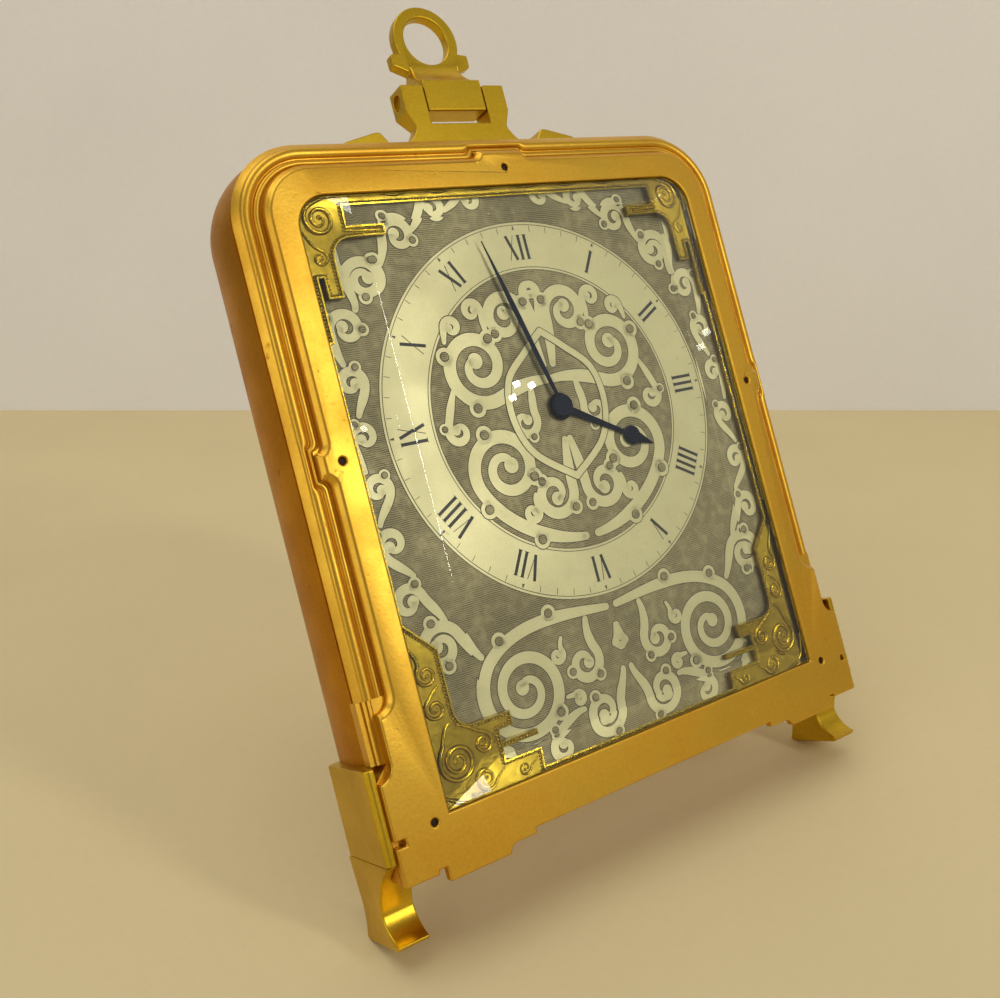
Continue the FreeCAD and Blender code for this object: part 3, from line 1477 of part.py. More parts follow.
def lever_and_balance(at):
    """The lever with its pallets just clear of the teeth, the balance, its spring and its cock."""
    front = size("front_level") + 0.1
    back = front + size("wheel_thick")
    line = heading(at["escape"], at["lever"])
    reach = size("escape_radius") + size("pallet_clear")
    shapes = [rod(size("lever_hub"), front, back, at["lever"])]
    for turn in (-1, 1):
        angle = line + turn * math.radians(30)
        stone = polar(reach, angle, at["escape"]), polar(reach + 1.0, angle, at["escape"])
        shapes.append(bar(stone[0], stone[1], 0.25, 0.35, front, back))
        shapes.append(bar(stone[1], at["lever"], 0.35, 0.4, front, back))
    fork = polar(size("lever_length") - size("roller_radius") - size("swing_clear"), line, at["lever"])
    shapes.append(bar(at["lever"], fork, 0.35, 0.5, front, back))
    add_solid("lever", joined(shapes + [between_plates(at["lever"], size("arbor_radius"))]))
    centre = at["balance"]
    rim_front = size("balance_front")
    rim_back = rim_front + size("balance_high")
    outer = size("balance_radius")
    hub = size("arbor_radius")
    ring = rod(outer, rim_front, rim_back, centre).cut(
        rod(outer - size("balance_rim"), rim_front, rim_back, centre))
    arms = bar(polar(outer - 0.4, 0.6, centre), polar(outer - 0.4, 0.6 + math.pi, centre), 0.45, 0.45,
               rim_front, rim_back)
    add_solid("balance_wheel", joined([ring, arms, rod(1.2, rim_front, rim_back, centre)]).cut(
        rod(hub, rim_front, rim_back, centre)))
    clear = size("running_clear")
    plate_back = size("pillar_plate_front") + size("pillar_plate_thick")
    cock_front = size("cock_front")
    staff = joined([
        rod(size("balance_neck"), plate_back + clear, size("top_plate_front") + 1.0, centre),
        rod(hub, size("top_plate_front") + 1.0, cock_front - clear, centre),
        rod(size("pivot_radius"), plate_back - 0.6, cock_front + 0.4, centre),
        rod(size("roller_radius"), front, back, centre),
    ])
    add_solid("balance_staff", staff)
    strip = size("hairspring_strip")
    turns = int(size("spring_turns"))
    start = hub + 0.45
    step = 0.85
    spring_front = rim_back + 0.15
    add_solid("hairspring", spiral_strip(
        start, step, turns, strip, spring_front, spring_front + 0.15, centre, hub + clear))
    balance_cock(centre, (centre[0] + start + step * turns, centre[1]), spring_front)


def balance_cock(centre, stud, spring_front):
    """The cock over the balance, with a foot on the back plate and a stud for the spring."""
    front = size("cock_front")
    back = front + size("cock_thick")
    half = size("cock_wide") / 2
    foot = cock_foot(centre)
    shape = joined([
        rod(half, front, back, foot),
        rod(1.6, front, back, centre),
        bar(foot, centre, half, 1.6, front, back),
        rod(half, size("top_plate_front") + size("top_plate_thick"), front, foot),
        bar(centre, stud, 0.5, 0.5, front, back),
        rod(0.35, spring_front + 0.15, back, stud),
    ])
    shape = shape.cut(rod(size("pivot_radius") + size("running_clear"), front - 1, back + 1, centre))
    add_solid("balance_cock", shape.cut(rod(size("screw_radius"), front - 2, back, foot)))


def cock_foot(centre):
    """Where the cock stands, clear of the balance's rim."""
    reach = size("balance_radius") + size("cock_wide") / 2 + size("swing_clear") + 0.3
    return polar(reach, math.radians(45), centre)


# Motion work behind the dial

def motion_work(at):
    """Cannon pinion, minute wheel and hour wheel, which turn the hands at one to twelve."""
    distance = size("motion_distance")
    leaves, teeth = size("cannon_leaves"), size("minute_wheel_teeth")
    module = 2 * distance / (leaves + teeth)
    pipe = size("cannon_pipe")
    rear_front = size("cannon_front")
    rear_back = rear_front + size("wheel_thick")
    hand_seat = size("minute_hand_front")
    cannon = joined([
        toothed(int(leaves), module, rear_front - 0.1, rear_back + 0.1),
        rod(pipe, hand_seat, rear_back + 0.1),
    ])
    add_solid("cannon_pinion", cannon)
    direction = heading(at["centre"], at["minute"])
    phase = mesh_phase(leaves, 0.0, teeth, direction)
    clear = size("running_clear")
    stud = size("minute_stud_radius")
    hour_module = 2 * distance / (size("minute_leaves") + size("hour_teeth"))
    fore_front = size("hour_wheel_front")
    fore_back = fore_front + size("wheel_thick")
    minute = joined([
        toothed(int(teeth), module, rear_front, rear_back, phase, at["minute"]),
        toothed(int(size("minute_leaves")), hour_module, fore_front - 0.1, rear_front, 0.0, at["minute"]),
    ])
    add_solid("minute_wheel", minute.cut(rod(stud + clear, fore_front - 1, rear_back + 1, at["minute"])))
    phase = mesh_phase(size("minute_leaves"), 0.0, size("hour_teeth"), direction + math.pi)
    hour = joined([
        toothed(int(size("hour_teeth")), hour_module, fore_front, fore_back, phase),
        rod(size("hour_pipe"), size("hour_hand_front"), fore_back),
    ])
    add_solid("hour_wheel", hour.cut(rod(pipe + clear, 0, fore_back + 1)))
    add_solid("minute_stud", rod(stud, fore_front - 0.1, size("pillar_plate_front"), at["minute"]))
    square = size("set_square")
    top_back = size("top_plate_front") + size("top_plate_thick")
    add_solid("set_arbor", joined([
        rod(size("set_arbor_radius"), rear_back + 0.1, top_back + 0.3),
        square_bar(square, top_back + 0.3, size("case_depth") - 0.6),
    ]))


# Back of the case: shutter, hinge and strut

def shutter(at):
    """The pear-shaped shutter over the winding hole, which swings on its screw."""
    front = size("case_depth")
    back = front + size("shutter_thick")
    pivot = (at[0], at[1] + size("shutter_reach"))
    shape = joined([
        rod(size("shutter_radius"), front, back, at),
        bar(at, pivot, size("shutter_radius") * 0.7, 1.5, front, back),
        rod(1.5, front, back, pivot),
    ])
    add_solid("winding_shutter", shape.cut(rod(size("screw_radius") + size("running_clear"),
                                               front, back, pivot)))
    return pivot


def hinge_lug():
    """The strut's hinge on the back: a plate with two knuckles."""
    body = new_body("hinge_lug")
    base = sketch_on(body, "XZ_Plane", "-case_depth - lug_plate_thick")
    draw(base, both_sides([
        ("hinge_half", "hinge_up - lug_plate_high"),
        ("hinge_half", "hinge_up + lug_plate_high"),
    ]))
    pad(body, base, "lug_plate_thick")
    for height in ("leg_knuckle_half + swing_clear", "-hinge_half"):
        knuckle = sketch_on(body, "YZ_Plane", height)
        draw(knuckle, knuckle_outline("case_depth"))
        pad(body, knuckle, "hinge_half - leg_knuckle_half - swing_clear")
    bore = sketch_on(body, "YZ_Plane")
    draw_circle(bore, "hinge_deep", "hinge_up", "hinge_pin_radius")
    pocket(body, bore, "hinge_half + hinge_half + 1", midplane=True)
    cut_circles(body, lug_screw_places(), "screw_radius", "case_depth - 1")


def lug_screw_places():
    """Where the hinge plate is screwed to the back."""
    rise = "lug_plate_high - 2"
    return [(half, up) for half in ("-hinge_half + 2", "hinge_half - 2")
            for up in ("hinge_up + " + rise, "hinge_up" + minus(rise))]


def knuckle_outline(foot_depth):
    """The side view of a knuckle with its web."""
    return [
        (foot_depth, "hinge_up - hinge_barrel"),
        ("hinge_deep", "hinge_up - hinge_barrel"),
        ("hinge_deep + hinge_barrel", "hinge_up", "hinge_barrel", 1),
        ("hinge_deep", "hinge_up + hinge_barrel", "hinge_barrel", 1),
        (foot_depth, "hinge_up + hinge_barrel"),
    ]


def hinge_pin():
    """The strut's hinge pin, flush with the lug's ends."""
    body = new_body("hinge_pin")
    sketch = sketch_on(body, "YZ_Plane")
    draw_circle(sketch, "hinge_deep", "hinge_up", "hinge_pin_radius")
    pad(body, sketch, "hinge_half + hinge_half", midplane=True)


def strut_leg():
    """The strut, drawn hanging from its hinge at the origin, with a stop nose on its knuckle."""
    body = new_body("strut_leg")
    blade = sketch_on(body, "XZ_Plane", "-leg_half_thick")
    draw(blade, both_sides([
        ("leg_foot_half", "-leg_length"),
        ("leg_foot_half", "-leg_length + 2.5"),
        ("leg_waist_half", "-leg_length + leg_foot_length", "leg_flare", -1),
        ("leg_top_half", "-hinge_barrel - 8"),
        ("leg_top_half", "-hinge_barrel - swing_clear"),
        ("leg_knuckle_half", "-hinge_barrel - swing_clear"),
        ("leg_knuckle_half", "0"),
    ]))
    pad(body, blade, "leg_thick")
    for outline in ("end", "knuckle"):
        sketch = sketch_on(body, "YZ_Plane")
        if outline == "end":
            draw_circle(sketch, "0", "-leg_length", "leg_half_thick")
            pad(body, sketch, "leg_foot_half + leg_foot_half", midplane=True)
        else:
            draw_circle(sketch, "0", "0", "hinge_barrel")
            pad(body, sketch, "leg_knuckle_half + leg_knuckle_half", midplane=True)
    nose = sketch_on(body, "YZ_Plane")
    draw(nose, [
        ("leg_half_thick", "0"),
        ("leg_half_thick", "nose_up"),
        ("-nose_forward", "nose_up"),
        ("-nose_forward", "0"),
    ])
    pad(body, nose, "leg_knuckle_half + leg_knuckle_half", midplane=True)
    bore = sketch_on(body, "YZ_Plane")
    draw_circle(bore, "0", "0", "hinge_pin_radius + running_clear")
    pocket(body, bore, "leg_knuckle_half + leg_knuckle_half + 1", midplane=True)
    return body


def small_screws(at, click_pivot, spring_root, shutter_pivot):
    """The equal small screws of the cock, click, click spring, shutter and hinge."""
    top_back = size("top_plate_front") + size("top_plate_thick")
    ratchet_back = size("ratchet_front") + size("wheel_thick")
    cock_back = size("cock_front") + size("cock_thick")
    case_back_depth = size("case_depth")
    screws = [
        screw(cock_foot(at["balance"]), cock_back, cock_back - top_back - 0.2),
        screw(click_pivot, ratchet_back + 0.05, ratchet_back + 0.05 - top_back),
        screw(spring_root, ratchet_back, ratchet_back - top_back),
        screw(shutter_pivot, case_back_depth + size("shutter_thick") + 0.05, size("shutter_thick") + 0.05),
    ]
    for x_text, y_text in lug_screw_places():
        seat = case_back_depth + size("lug_plate_thick")
        screws.append(screw((number(x_text), number(y_text)), seat, size("lug_plate_thick")))
    add_solid("small_screws", Part.makeCompound(screws))


# The whole clock

def build():
    """Build every piece upright."""
    front_plate()
    plate_pins()
    bead_frame()
    case_band()
    case_back()
    case_floor()
    for side in SIDES:
        side_block(side)
        foot(side)
    crest_plate()
    suspension_ring()
    ring_pin()
    glass()
    gilt_mask()
    dial()
    dial_feet()
    hands()
    at = arbor_places()
    movement_plates(at)
    posts_and_screws()
    going_train(at)
    barrel(at["barrel"])
    click_pivot, spring_root = ratchet_and_click(at["barrel"])
    lever_and_balance(at)
    motion_work(at)
    shutter_pivot = shutter(at["barrel"])
    hinge_lug()
    hinge_pin()
    leg = strut_leg()
    small_screws(at, click_pivot, spring_root, shutter_pivot)
    doc.recompute()
    return leg


def take_stance(leg):
    """Lean every piece back onto heels and strut, with the origin under the middle of the clock."""
    axis = FreeCAD.Vector(1, 0, 0)
    lean = FreeCAD.Placement(FreeCAD.Vector(), FreeCAD.Rotation(axis, -size("lean_angle")))
    hinge = FreeCAD.Vector(0, size("hinge_deep"), size("hinge_up"))
    spread = FreeCAD.Placement(hinge, FreeCAD.Rotation(axis, size("strut_spread")))
    for piece in pieces:
        piece.Placement = lean * spread if piece is leg else lean
    boxes = [piece.Shape.optimalBoundingBox(False) for piece in pieces]
    middle = (min(box.YMin for box in boxes) + max(box.YMax for box in boxes)) / 2
    shift = FreeCAD.Placement(FreeCAD.Vector(0, -middle, -min(box.ZMin for box in boxes)), FreeCAD.Rotation())
    for piece in pieces:
        piece.Placement = shift * piece.Placement
    return shift * lean


def check_model():
    """Stop if any object failed or any piece is not a valid solid."""
    for item in doc.Objects:
        if "Invalid" in item.State or "Error" in item.State:
            raise RuntimeError(f"{item.Label}: {item.State}")
    for piece in pieces:
        shape = piece.Shape
        if shape.isNull() or not shape.isValid() or not shape.Solids:
            raise RuntimeError(f"{piece.Label}: not a valid solid")


def write_pieces():
    """Write each piece to its own file."""
    os.makedirs("parts", exist_ok=True)
    for piece in pieces:
        piece.Shape.exportStep(f"parts/{piece.Label}.step")


stance_leg = build()
stance = take_stance(stance_leg)
check_model()
write_pieces()
at_rest = arbor_places()
for name, (x, z) in at_rest.items():
    point = stance.multVec(FreeCAD.Vector(x, 0, z))
    print(f"{name}: {point.x:.4f} {point.y:.4f} {point.z:.4f}")
print("pieces:", len(pieces))
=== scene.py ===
"""The looks of a strut clock: gilt case, bevelled glass, chased mask, engraved dial and blued hands.

Every piece is drawn in the dial's own coordinates, in millimetres: right of the dial's centre, up
along the front plate, and depth behind the plate's face. The stance then leans it as the clock stands.
"""

import json
import logging
import math
from collections.abc import Mapping
from dataclasses import dataclass
from enum import Enum

import bmesh
import bpy
from mathutils import Matrix, Vector


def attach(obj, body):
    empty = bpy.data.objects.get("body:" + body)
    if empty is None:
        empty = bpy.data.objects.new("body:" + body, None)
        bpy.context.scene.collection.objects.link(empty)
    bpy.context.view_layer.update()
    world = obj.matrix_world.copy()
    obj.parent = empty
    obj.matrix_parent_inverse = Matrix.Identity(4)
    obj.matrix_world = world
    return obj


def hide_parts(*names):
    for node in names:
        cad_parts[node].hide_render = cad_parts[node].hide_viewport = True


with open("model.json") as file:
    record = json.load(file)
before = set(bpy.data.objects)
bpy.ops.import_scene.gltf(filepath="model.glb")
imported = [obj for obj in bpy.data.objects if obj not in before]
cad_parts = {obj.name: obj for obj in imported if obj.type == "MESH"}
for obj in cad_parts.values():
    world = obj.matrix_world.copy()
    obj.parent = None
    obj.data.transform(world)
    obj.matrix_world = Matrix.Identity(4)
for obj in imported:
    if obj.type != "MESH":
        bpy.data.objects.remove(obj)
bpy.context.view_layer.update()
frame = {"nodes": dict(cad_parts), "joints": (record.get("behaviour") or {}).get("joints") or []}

# A millimetre in metres, and how far in millimetres a piece reaches into the one it stands on
MM = 0.001
OVERLAP = 0.02

log = logging.getLogger("strut_clock")
Flat = tuple[float, float]
Point = tuple[float, float, float]
Colour = tuple[float, float, float]
Face = tuple[int, ...]
Drawn = tuple[list[Flat], list[float]]
Socket = bpy.types.NodeSocket
Sockets = Mapping[str, Socket]
Value = Socket | float | tuple[float, ...]
Inputs = Mapping[str | int, Value]


class Stance:
    """Leans dial coordinates the way the clock stands, read from the minute hand's joint.

    The joint's place lies on the dial's axis, a set depth behind the plate's face.
    """

    JOINT_DEPTH = 2.5

    def __init__(self) -> None:
        """Reads the joint that turns about the dial's axis."""
        joint = next(j for j in frame["joints"] if j["name"] == "minute_turn")
        self.behind = Vector(joint["axis"]).normalized()
        self.up = Vector((1, 0, 0)).cross(self.behind)
        self.centre = Vector(joint["pos_m"]) - self.behind * self.JOINT_DEPTH * MM

    def point(self, right: float, up: float, depth: float) -> Vector:
        """The place in the row frame of a point in dial coordinates."""
        return self.centre + MM * (Vector((right, 0, 0)) + self.up * up + self.behind * depth)

    def direction(self, right: float, up: float, forward: float) -> Vector:
        """A direction in the row frame, its last number pointing out of the dial."""
        return Vector((right, 0, 0)) + self.up * up - self.behind * forward


STANCE = Stance()


# Shared shader effects

class Graph:
    """A node tree, with short ways to add the nodes that the finishes are made of."""

    def __init__(self, tree: bpy.types.NodeTree) -> None:
        """Takes the tree that nodes are added to."""
        self.tree = tree

    def fill(self, node: bpy.types.Node, inputs: Inputs) -> None:
        """Gives a node its values.

        Args:
            node: the node.
            inputs: a number or colour for each input, or the socket that it is linked to.
        """
        for name, value in inputs.items():
            if isinstance(value, bpy.types.NodeSocket):
                self.tree.links.new(value, node.inputs[name])
            else:
                node.inputs[name].default_value = value

    def add(self, kind: str, inputs: Inputs | None = None, **options: object) -> bpy.types.Node:
        """Adds a node.

        Args:
            kind: its type, without the prefix that all shader nodes share.
            inputs: what its inputs are given.
            options: its settings.

        Returns:
            The new node.
        """
        node = self.tree.nodes.new("ShaderNode" + kind)
        for name, value in options.items():
            setattr(node, name, value)
        self.fill(node, inputs or {})
        return node

    def noise(self, vector: Socket, scale: Socket | float, detail: float, label: str) -> Socket:
        """Adds a noise texture."""
        inputs = {"Vector": vector, "Scale": scale, "Detail": detail}
        return self.add("TexNoise", inputs, label=label).outputs["Fac"]

    def math(self, operation: str, first: Socket | float, second: Socket | float) -> Socket:
        """Adds a math node."""
        return self.add("Math", {0: first, 1: second}, operation=operation).outputs[0]

    def ramp(self, value: Socket, low: float, high: float) -> Socket:
        """Stretches a value between two limits to the whole range from 0 to 1."""
        return self.add("MapRange", {"From Min": low, "From Max": high, "Value": value}).outputs["Result"]

    def blend(self, factor: Socket, first: Value, second: Value, blend_type: str = "MIX") -> Socket:
        """Mixes two colours by a factor."""
        inputs = {"Factor": factor, "A": first, "B": second}
        return self.add("Mix", inputs, data_type="RGBA", blend_type=blend_type).outputs["Result"]


class Effects:
    """Node groups that several finishes share, each built once."""

    def __init__(self) -> None:
        """Builds the groups."""
        self.patina = self._patina()
        self.brushing = self._brushing()
        self.hatching = self._hatching()

    @staticmethod
    def _group(name: str, inputs: Inputs, outputs: tuple[str, ...]) -> tuple[Graph, Sockets, bpy.types.Node]:
        """Makes an empty group with its sockets.

        Args:
            name: the group's name.
            inputs: each input's default, where a tuple stands for a colour.
            outputs: the outputs, of which only Color is a colour.

        Returns:
            The group's graph, what it is given by name, and its output node.
        """
        tree = bpy.data.node_groups.new(name, "ShaderNodeTree")
        for label, value in inputs.items():
            kind = "NodeSocketColor" if isinstance(value, tuple) else "NodeSocketFloat"
            tree.interface.new_socket(label, in_out="INPUT", socket_type=kind).default_value = value
        for label in outputs:
            kind = "NodeSocketColor" if label == "Color" else "NodeSocketFloat"
            tree.interface.new_socket(label, in_out="OUTPUT", socket_type=kind)
        return Graph(tree), tree.nodes.new("NodeGroupInput").outputs, tree.nodes.new("NodeGroupOutput")

    def _patina(self) -> bpy.types.NodeTree:
        """Gilding worn unevenly: clouds of two tones, fine speckle and a few dark pits.

        Returns:
            The group, which gives a colour, its roughness and a height for the bump.
        """
        graph, given, result = self._group(
            "patina",
            {"Clean": (1, 1, 1, 1), "Worn": (0.5, 0.5, 0.5, 1), "Roughness": 0.3, "Clouds": 90.0,
             "Speckle": 2500.0},
            ("Color", "Roughness", "Height"))
        where = graph.add("TexCoord").outputs["Object"]
        tone = graph.ramp(graph.noise(where, given["Clouds"], 4.0, "clouds"), 0.35, 0.68)
        speckle = graph.noise(where, given["Speckle"], 3.0, "speckle")
        pits = graph.ramp(graph.noise(where, 520.0, 2.0, "pits"), 0.70, 0.78)
        grain = graph.math("MULTIPLY", graph.ramp(speckle, 0.35, 0.75), 0.35)
        worn = graph.math("ADD", graph.math("MULTIPLY", tone, 0.65), grain)
        rough = graph.math("ADD", given["Roughness"], graph.math("MULTIPLY", tone, 0.10))
        graph.fill(result, {
            "Color": graph.blend(graph.math("MAXIMUM", worn, pits), given["Clean"], given["Worn"]),
            "Roughness": graph.math("ADD", rough, graph.math("MULTIPLY", pits, 0.2)),
            "Height": graph.math("SUBTRACT", speckle, pits)})
        return graph.tree

    def _brushing(self) -> bpy.types.NodeTree:
        """Fine parallel scratches left by a brush or a stone, along the row frame's X axis.

        Returns:
            The group, which gives a mask of the scratches and their height.
        """
        graph, given, result = self._group("brushing", {"Scale": 4000.0, "Length": 40.0}, ("Mask", "Height"))
        split = graph.add("SeparateXYZ", {0: graph.add("TexCoord").outputs["Object"]}).outputs
        along = graph.math("DIVIDE", split["X"], given["Length"])
        where = graph.add("CombineXYZ", {"X": along, "Y": split["Y"], "Z": split["Z"]}).outputs[0]
        lines = graph.noise(where, given["Scale"], 2.0, "scratches")
        graph.fill(result, {"Mask": graph.ramp(lines, 0.3, 0.7), "Height": lines})
        return graph.tree

    def _hatching(self) -> bpy.types.NodeTree:
        """Engraver's hatching: close wavering cuts across the dial, broken here and there.

        Returns:
            The group, which gives a mask of the cuts and their height.
        """
        graph, given, result = self._group("hatching", {"Lines": 1150.0, "Waver": 3.0}, ("Mask", "Height"))
        where = graph.add("TexCoord").outputs["Object"]
        wave = graph.add("TexWave", {"Vector": where, "Scale": given["Lines"], "Distortion": given["Waver"],
                                     "Detail": 2.0, "Detail Scale": 0.5}, bands_direction="Z").outputs["Fac"]
        broken = graph.ramp(graph.noise(where, 700.0, 3.0, "broken cuts"), 0.30, 0.55)
        cuts = graph.math("MULTIPLY", graph.ramp(wave, 0.35, 0.75), broken)
        graph.fill(result, {"Mask": cuts, "Height": graph.math("SUBTRACT", 1.0, cuts)})
        return graph.tree


EFFECTS = Effects()


class Grain(Enum):
    """What the bump of a finish follows."""

    PATINA = "patina"
    BRUSHED = "brushed"
    HATCHED = "hatched"


def blank(name: str) -> tuple[bpy.types.Material, Graph, bpy.types.Node]:
    """Makes a new material.

    Args:
        name: its name.

    Returns:
        The material, its graph and its main shader.
    """
    material = bpy.data.materials.new(name)
    material.use_nodes = True
    return material, Graph(material.node_tree), material.node_tree.nodes["Principled BSDF"]


@dataclass(frozen=True)
class Finish:
    """A metal finish with two tones, its gloss and its grain."""

    name: str
    clean: Colour
    worn: Colour
    roughness: float
    metallic: float = 1.0
    grain: Grain = Grain.PATINA
    bump: float = 0.12
    clouds: float = 90.0
    speckle: float = 2500.0
    coat: float = 0.0

    BRUSH_SHADE = (0.80, 0.78, 0.74, 1)
    HATCH_SHADE = (0.42, 0.38, 0.30, 1)
    BUMP_DEPTH = 0.05

    def material(self) -> bpy.types.Material:
        """Builds the finish's material.

        Returns:
            A material whose colour, gloss and bump vary over the surface.
        """
        material, graph, shader = blank(self.name)
        patina = graph.add("Group", node_tree=EFFECTS.patina)
        graph.fill(patina, {"Clean": (*self.clean, 1), "Worn": (*self.worn, 1), "Roughness": self.roughness,
                            "Clouds": self.clouds, "Speckle": self.speckle})
        tone, height = patina.outputs["Color"], patina.outputs["Height"]
        if self.grain is not Grain.PATINA:
            tone, height = self._cut(graph, tone)
        bump = graph.add("Bump", {"Strength": self.bump, "Distance": self.BUMP_DEPTH * MM, "Height": height})
        graph.fill(shader, {"Metallic": self.metallic, "Coat Weight": self.coat, "Base Color": tone,
                            "Roughness": patina.outputs["Roughness"], "Normal": bump.outputs["Normal"]})
        return material

    def _cut(self, graph: Graph, tone: Socket) -> tuple[Socket, Socket]:
        """Lays brushing or hatching over a tone.

        Args:
            graph: the material's graph.
            tone: the colour under the cuts.

        Returns:
            The new colour and the height of the cuts.
        """
        brushed = self.grain is Grain.BRUSHED
        cut = graph.add("Group", node_tree=EFFECTS.brushing if brushed else EFFECTS.hatching).outputs
        shade = self.BRUSH_SHADE if brushed else self.HATCH_SHADE
        return graph.blend(cut["Mask"], tone, shade, "MULTIPLY"), cut["Height"]


@dataclass(frozen=True)
class ClearGlass:
    """Clear glass that lets light through to what lies behind it."""

    name: str = "clear_glass"
    tint: Colour = (0.97, 0.99, 0.97)
    index: float = 1.5

    def material(self) -> bpy.types.Material:
        """Builds the glass's material.

        Returns:
            Glass whose shadow is clear, so that the dial behind it stays lit.
        """
        material, graph, shader = blank(self.name)
        graph.fill(shader, {"Base Color": (*self.tint, 1), "Roughness": 0.0, "Transmission Weight": 1.0,
                            "IOR": self.index})
        shadow = graph.add("LightPath").outputs["Is Shadow Ray"]
        clear = graph.add("BsdfTransparent").outputs[0]
        mix = graph.add("MixShader", {"Fac": shadow, 1: shader.outputs[0], 2: clear})
        graph.fill(graph.tree.nodes["Material Output"], {"Surface": mix.outputs[0]})
        return material


class Palette:
    """Every finish of the clock, as built materials."""

    def __init__(self) -> None:
        """Builds the materials."""
        self.plate = Finish("matte_gilt", (0.80, 0.48, 0.055), (0.64, 0.33, 0.030), 0.34,
                            bump=0.25).material()
        # Painted shade: the case band, back and floor get the plate's gilt made darker and redder, standing
        # in for the shade that the band's sides lie in.
        self.band = Finish("gilt_painted_shade", (0.60, 0.27, 0.014), (0.42, 0.17, 0.008), 0.38, bump=0.25).material()
        self.brass = Finish("satin_brass", (0.72, 0.47, 0.032), (0.50, 0.31, 0.016), 0.32,
                            bump=0.2).material()
        self.mask = Finish("chased_gilt", (0.58, 0.41, 0.032), (0.38, 0.26, 0.014), 0.16, bump=0.3,
                           speckle=1400.0).material()
        # Painted shade: the mask's sunk ground is the mask's gilt made darker, standing in for the shade and
        # dark reflection in the hollows between rims and scrolls; its chasing is only the bump.
        self.hollow = Finish("mask_ground_painted_shade", (0.36, 0.25, 0.020), (0.18, 0.12, 0.010), 0.28, bump=0.8,
                             clouds=260.0, speckle=1100.0).material()
        self.silver = Finish("silvered", (0.46, 0.42, 0.215), (0.37, 0.335, 0.165), 0.38, 0.45, bump=0.12,
                             speckle=3500.0).material()
        self.ground = Finish("hatched_ground", (0.24, 0.205, 0.088), (0.165, 0.14, 0.058), 0.48, 0.35,
                             Grain.HATCHED, bump=0.4).material()
        self.cut = Finish("engraved_line", (0.05, 0.04, 0.018), (0.09, 0.075, 0.03), 0.6, 0.1).material()
        self.black = Finish("numeral_black", (0.008, 0.007, 0.006), (0.020, 0.017, 0.012), 0.6,
                            0.0).material()
        self.blued = Finish("blued_steel", (0.006, 0.009, 0.018), (0.005, 0.007, 0.013), 0.24, bump=0.0,
                            coat=0.2).material()
        self.steel = Finish("polished_steel", (0.62, 0.62, 0.64), (0.50, 0.50, 0.52), 0.22,
                            grain=Grain.BRUSHED).material()
        self.movement = Finish("movement_brass", (0.78, 0.60, 0.28), (0.64, 0.46, 0.18), 0.30,
                               grain=Grain.BRUSHED).material()
        self.dark = Finish("pin_shadow", (0.06, 0.035, 0.015), (0.03, 0.018, 0.01), 0.6, 0.6).material()
        self.glass = ClearGlass().material()


PALETTE = Palette()


# Building pieces

